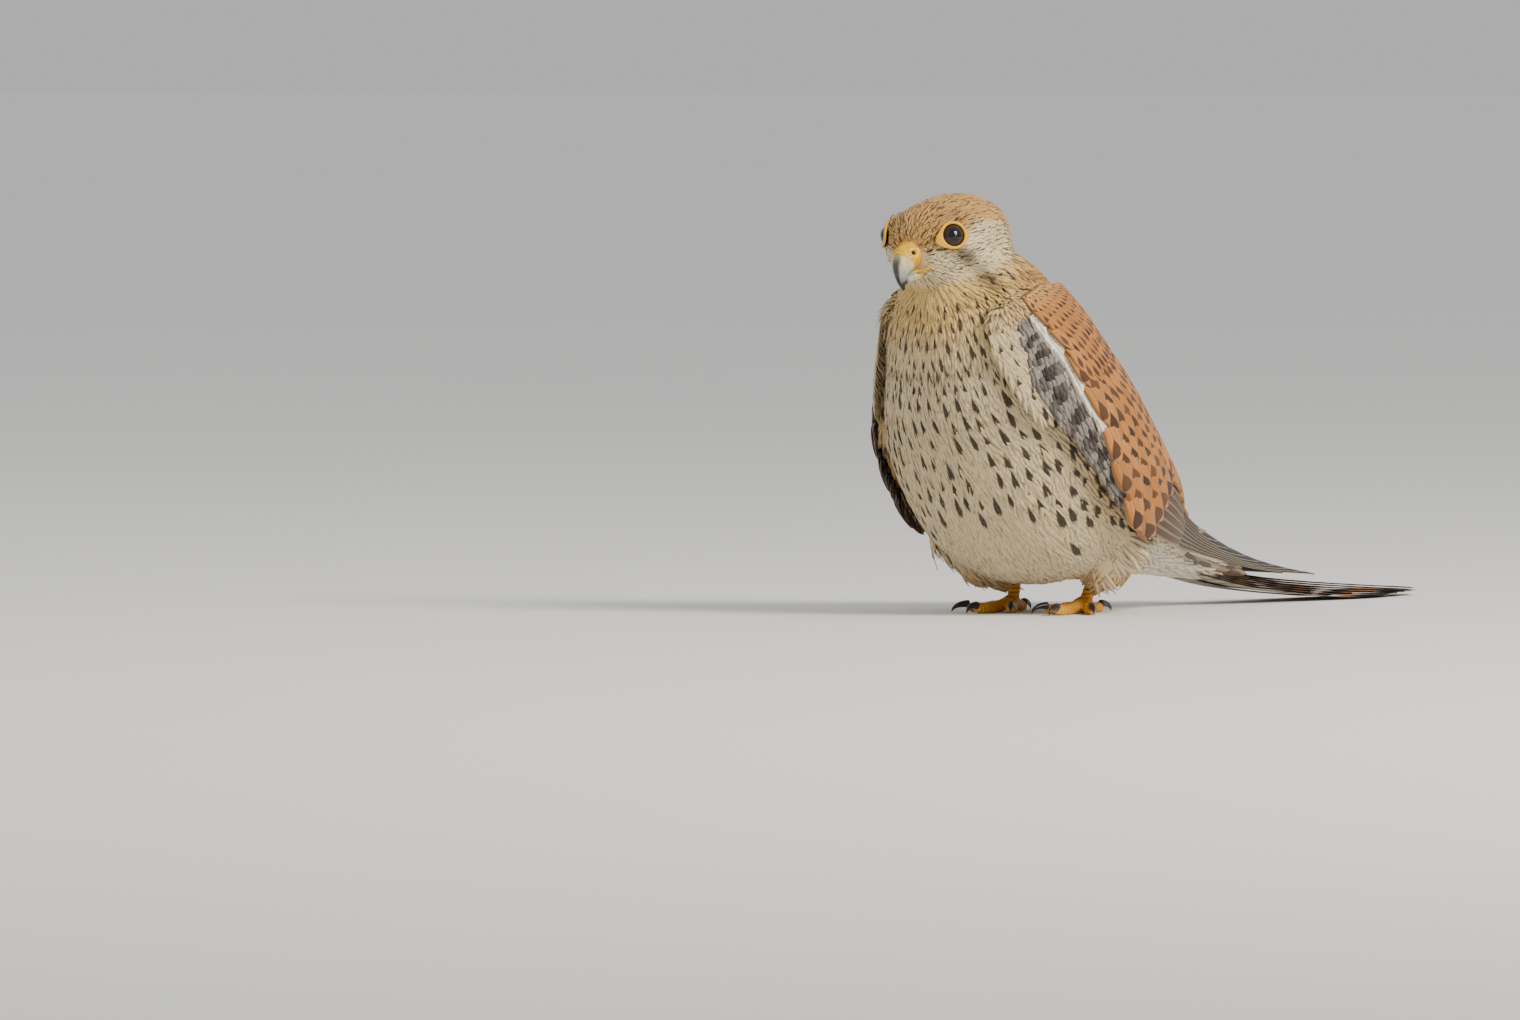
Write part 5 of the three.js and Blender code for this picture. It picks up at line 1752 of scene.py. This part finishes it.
def claw_material():
    """Black horn, browner and duller at its root, with fine lines along it."""
    made, tree, shader = new_material("claws")
    place = node(tree, "ShaderNodeUVMap", uv_map="Vane").outputs[0]
    split = node(tree, "ShaderNodeSeparateXYZ", {0: place})
    base = mixed(tree, stepped(tree, split.outputs[1], 0.0, 0.3), rgba("#4c4038"), rgba("#17151a"))
    colour = mixed(tree, noise(tree, place, 30.0, 3.0), base, rgba("#25222a"))
    tree.links.new(colour, shader.inputs["Base Color"])
    shader.inputs["Roughness"].default_value = 0.3
    return made


toe_finish = toe_material()
claw_finish = claw_material()
for label, side in SIDES:
    foot = foot_object(label, side)
    foot.data.materials.append(toe_finish)
    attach(foot, "root")
    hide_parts("foot_" + label, "tarsus_" + label)
    for toe, length, splay, _ in TOES:
        nail = surface_object(f"nail_{label}_{toe}", claw_rings(side, length, splay))
        nail.data.materials.append(claw_finish)
        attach(nail, "root")
        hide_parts(f"claw_{label}_{toe}")


# The studio. A pale matt floor, a large soft light above and to the right, a weaker one to the
# left and an even pale surround. The camera stands 5 m away at the bird's own angle.
FLOOR_HALF = 40.0
LOW_LIGHT = (0.675, 0.682, 0.678, 1)
HIGH_LIGHT = (0.88, 0.9, 0.92, 1)
CAMERA_TURN = np.radians(29)  # round to the bird's left
CAMERA_RISE = np.radians(2)
CAMERA_AWAY = 5
CAMERA_LEFT = 0.1067  # how far left of the feet the middle of the view is
CAMERA_UP = 0.0378  # how far above them it is


def floor_material():
    """Matt pale paint with a faint mottle."""
    made, tree, shader = new_material("pale_floor")
    place = node(tree, "ShaderNodeTexCoord").outputs["Object"]
    colour = mixed(tree, noise(tree, place, 3.0), rgba("#e4e2de"), rgba("#e9e7e3"))
    tree.links.new(colour, shader.inputs["Base Color"])
    shader.inputs["Roughness"].default_value = 0.9
    return made


def placed(name, data, right, up, back, place):
    """A lamp or camera as an object: its three axes and its place are its matrix's columns."""
    obj = bpy.data.objects.new(name, data)
    turn = np.eye(4)
    turn[:3, :4] = np.stack([right, up, back, place], -1)
    obj.matrix_world = Matrix(turn.tolist())
    bpy.context.scene.collection.objects.link(obj)
    return obj


def area_light(name, place, aim, size, power, colour):
    """A square area light at a place, turned so that it shines at aim."""
    data = bpy.data.lights.new(name, "AREA")
    data.size = size
    data.energy = power
    data.color = colour
    back = unit(np.array(place) - np.array(aim))
    right = unit(np.cross([0.0, 0.0, 1.0], back))
    placed(name, data, right, np.cross(back, right), back, place)


def surround():
    """An even pale light from all sides, a little darker in a low band, where it meets the far
    floor, so that no line shows between them."""
    world = bpy.data.worlds.new("surround")
    world.use_nodes = True
    tree = world.node_tree
    way = node(tree, "ShaderNodeTexCoord").outputs["Generated"]
    rise = node(tree, "ShaderNodeSeparateXYZ", {0: way}).outputs[2]
    colour = mixed(tree, stepped(tree, rise, 0.02, 0.4), LOW_LIGHT, HIGH_LIGHT)
    tree.links.new(colour, tree.nodes["Background"].inputs["Color"])
    tree.nodes["Background"].inputs["Strength"].default_value = 0.78
    bpy.context.scene.world = world


def studio():
    """Floor, lights and camera."""
    corner = FLOOR_HALF / MM
    square = [[-corner, -corner, 0], [corner, -corner, 0], [corner, corner, 0], [-corner, corner, 0]]
    floor = object_of("floor", square, [[0, 1, 2, 3]], smooth=False)
    floor.data.materials.append(floor_material())
    aim = (0.0, 0.0, 0.08)
    area_light("key", (1.85, -0.45, 1.4), aim, 0.8, 66, (1.0, 0.95, 0.88))
    area_light("fill", (-1.6, -1.4, 0.9), aim, 1.6, 5, (0.9, 0.95, 1.0))
    camera = bpy.data.cameras.new("camera")
    camera.sensor_width = 36
    camera.lens = 320
    camera.clip_end = 200
    right = np.array([np.cos(CAMERA_TURN), np.sin(CAMERA_TURN), 0])
    level = np.cos(CAMERA_RISE)
    toward = np.array([right[1] * level, -right[0] * level, np.sin(CAMERA_RISE)])
    up = np.cross(toward, right)
    place = FEET * MM - right * CAMERA_LEFT + up * CAMERA_UP + toward * CAMERA_AWAY
    bpy.context.scene.camera = placed("camera", camera, right, up, toward, place)


surround()
studio()
bpy.context.view_layer.update()
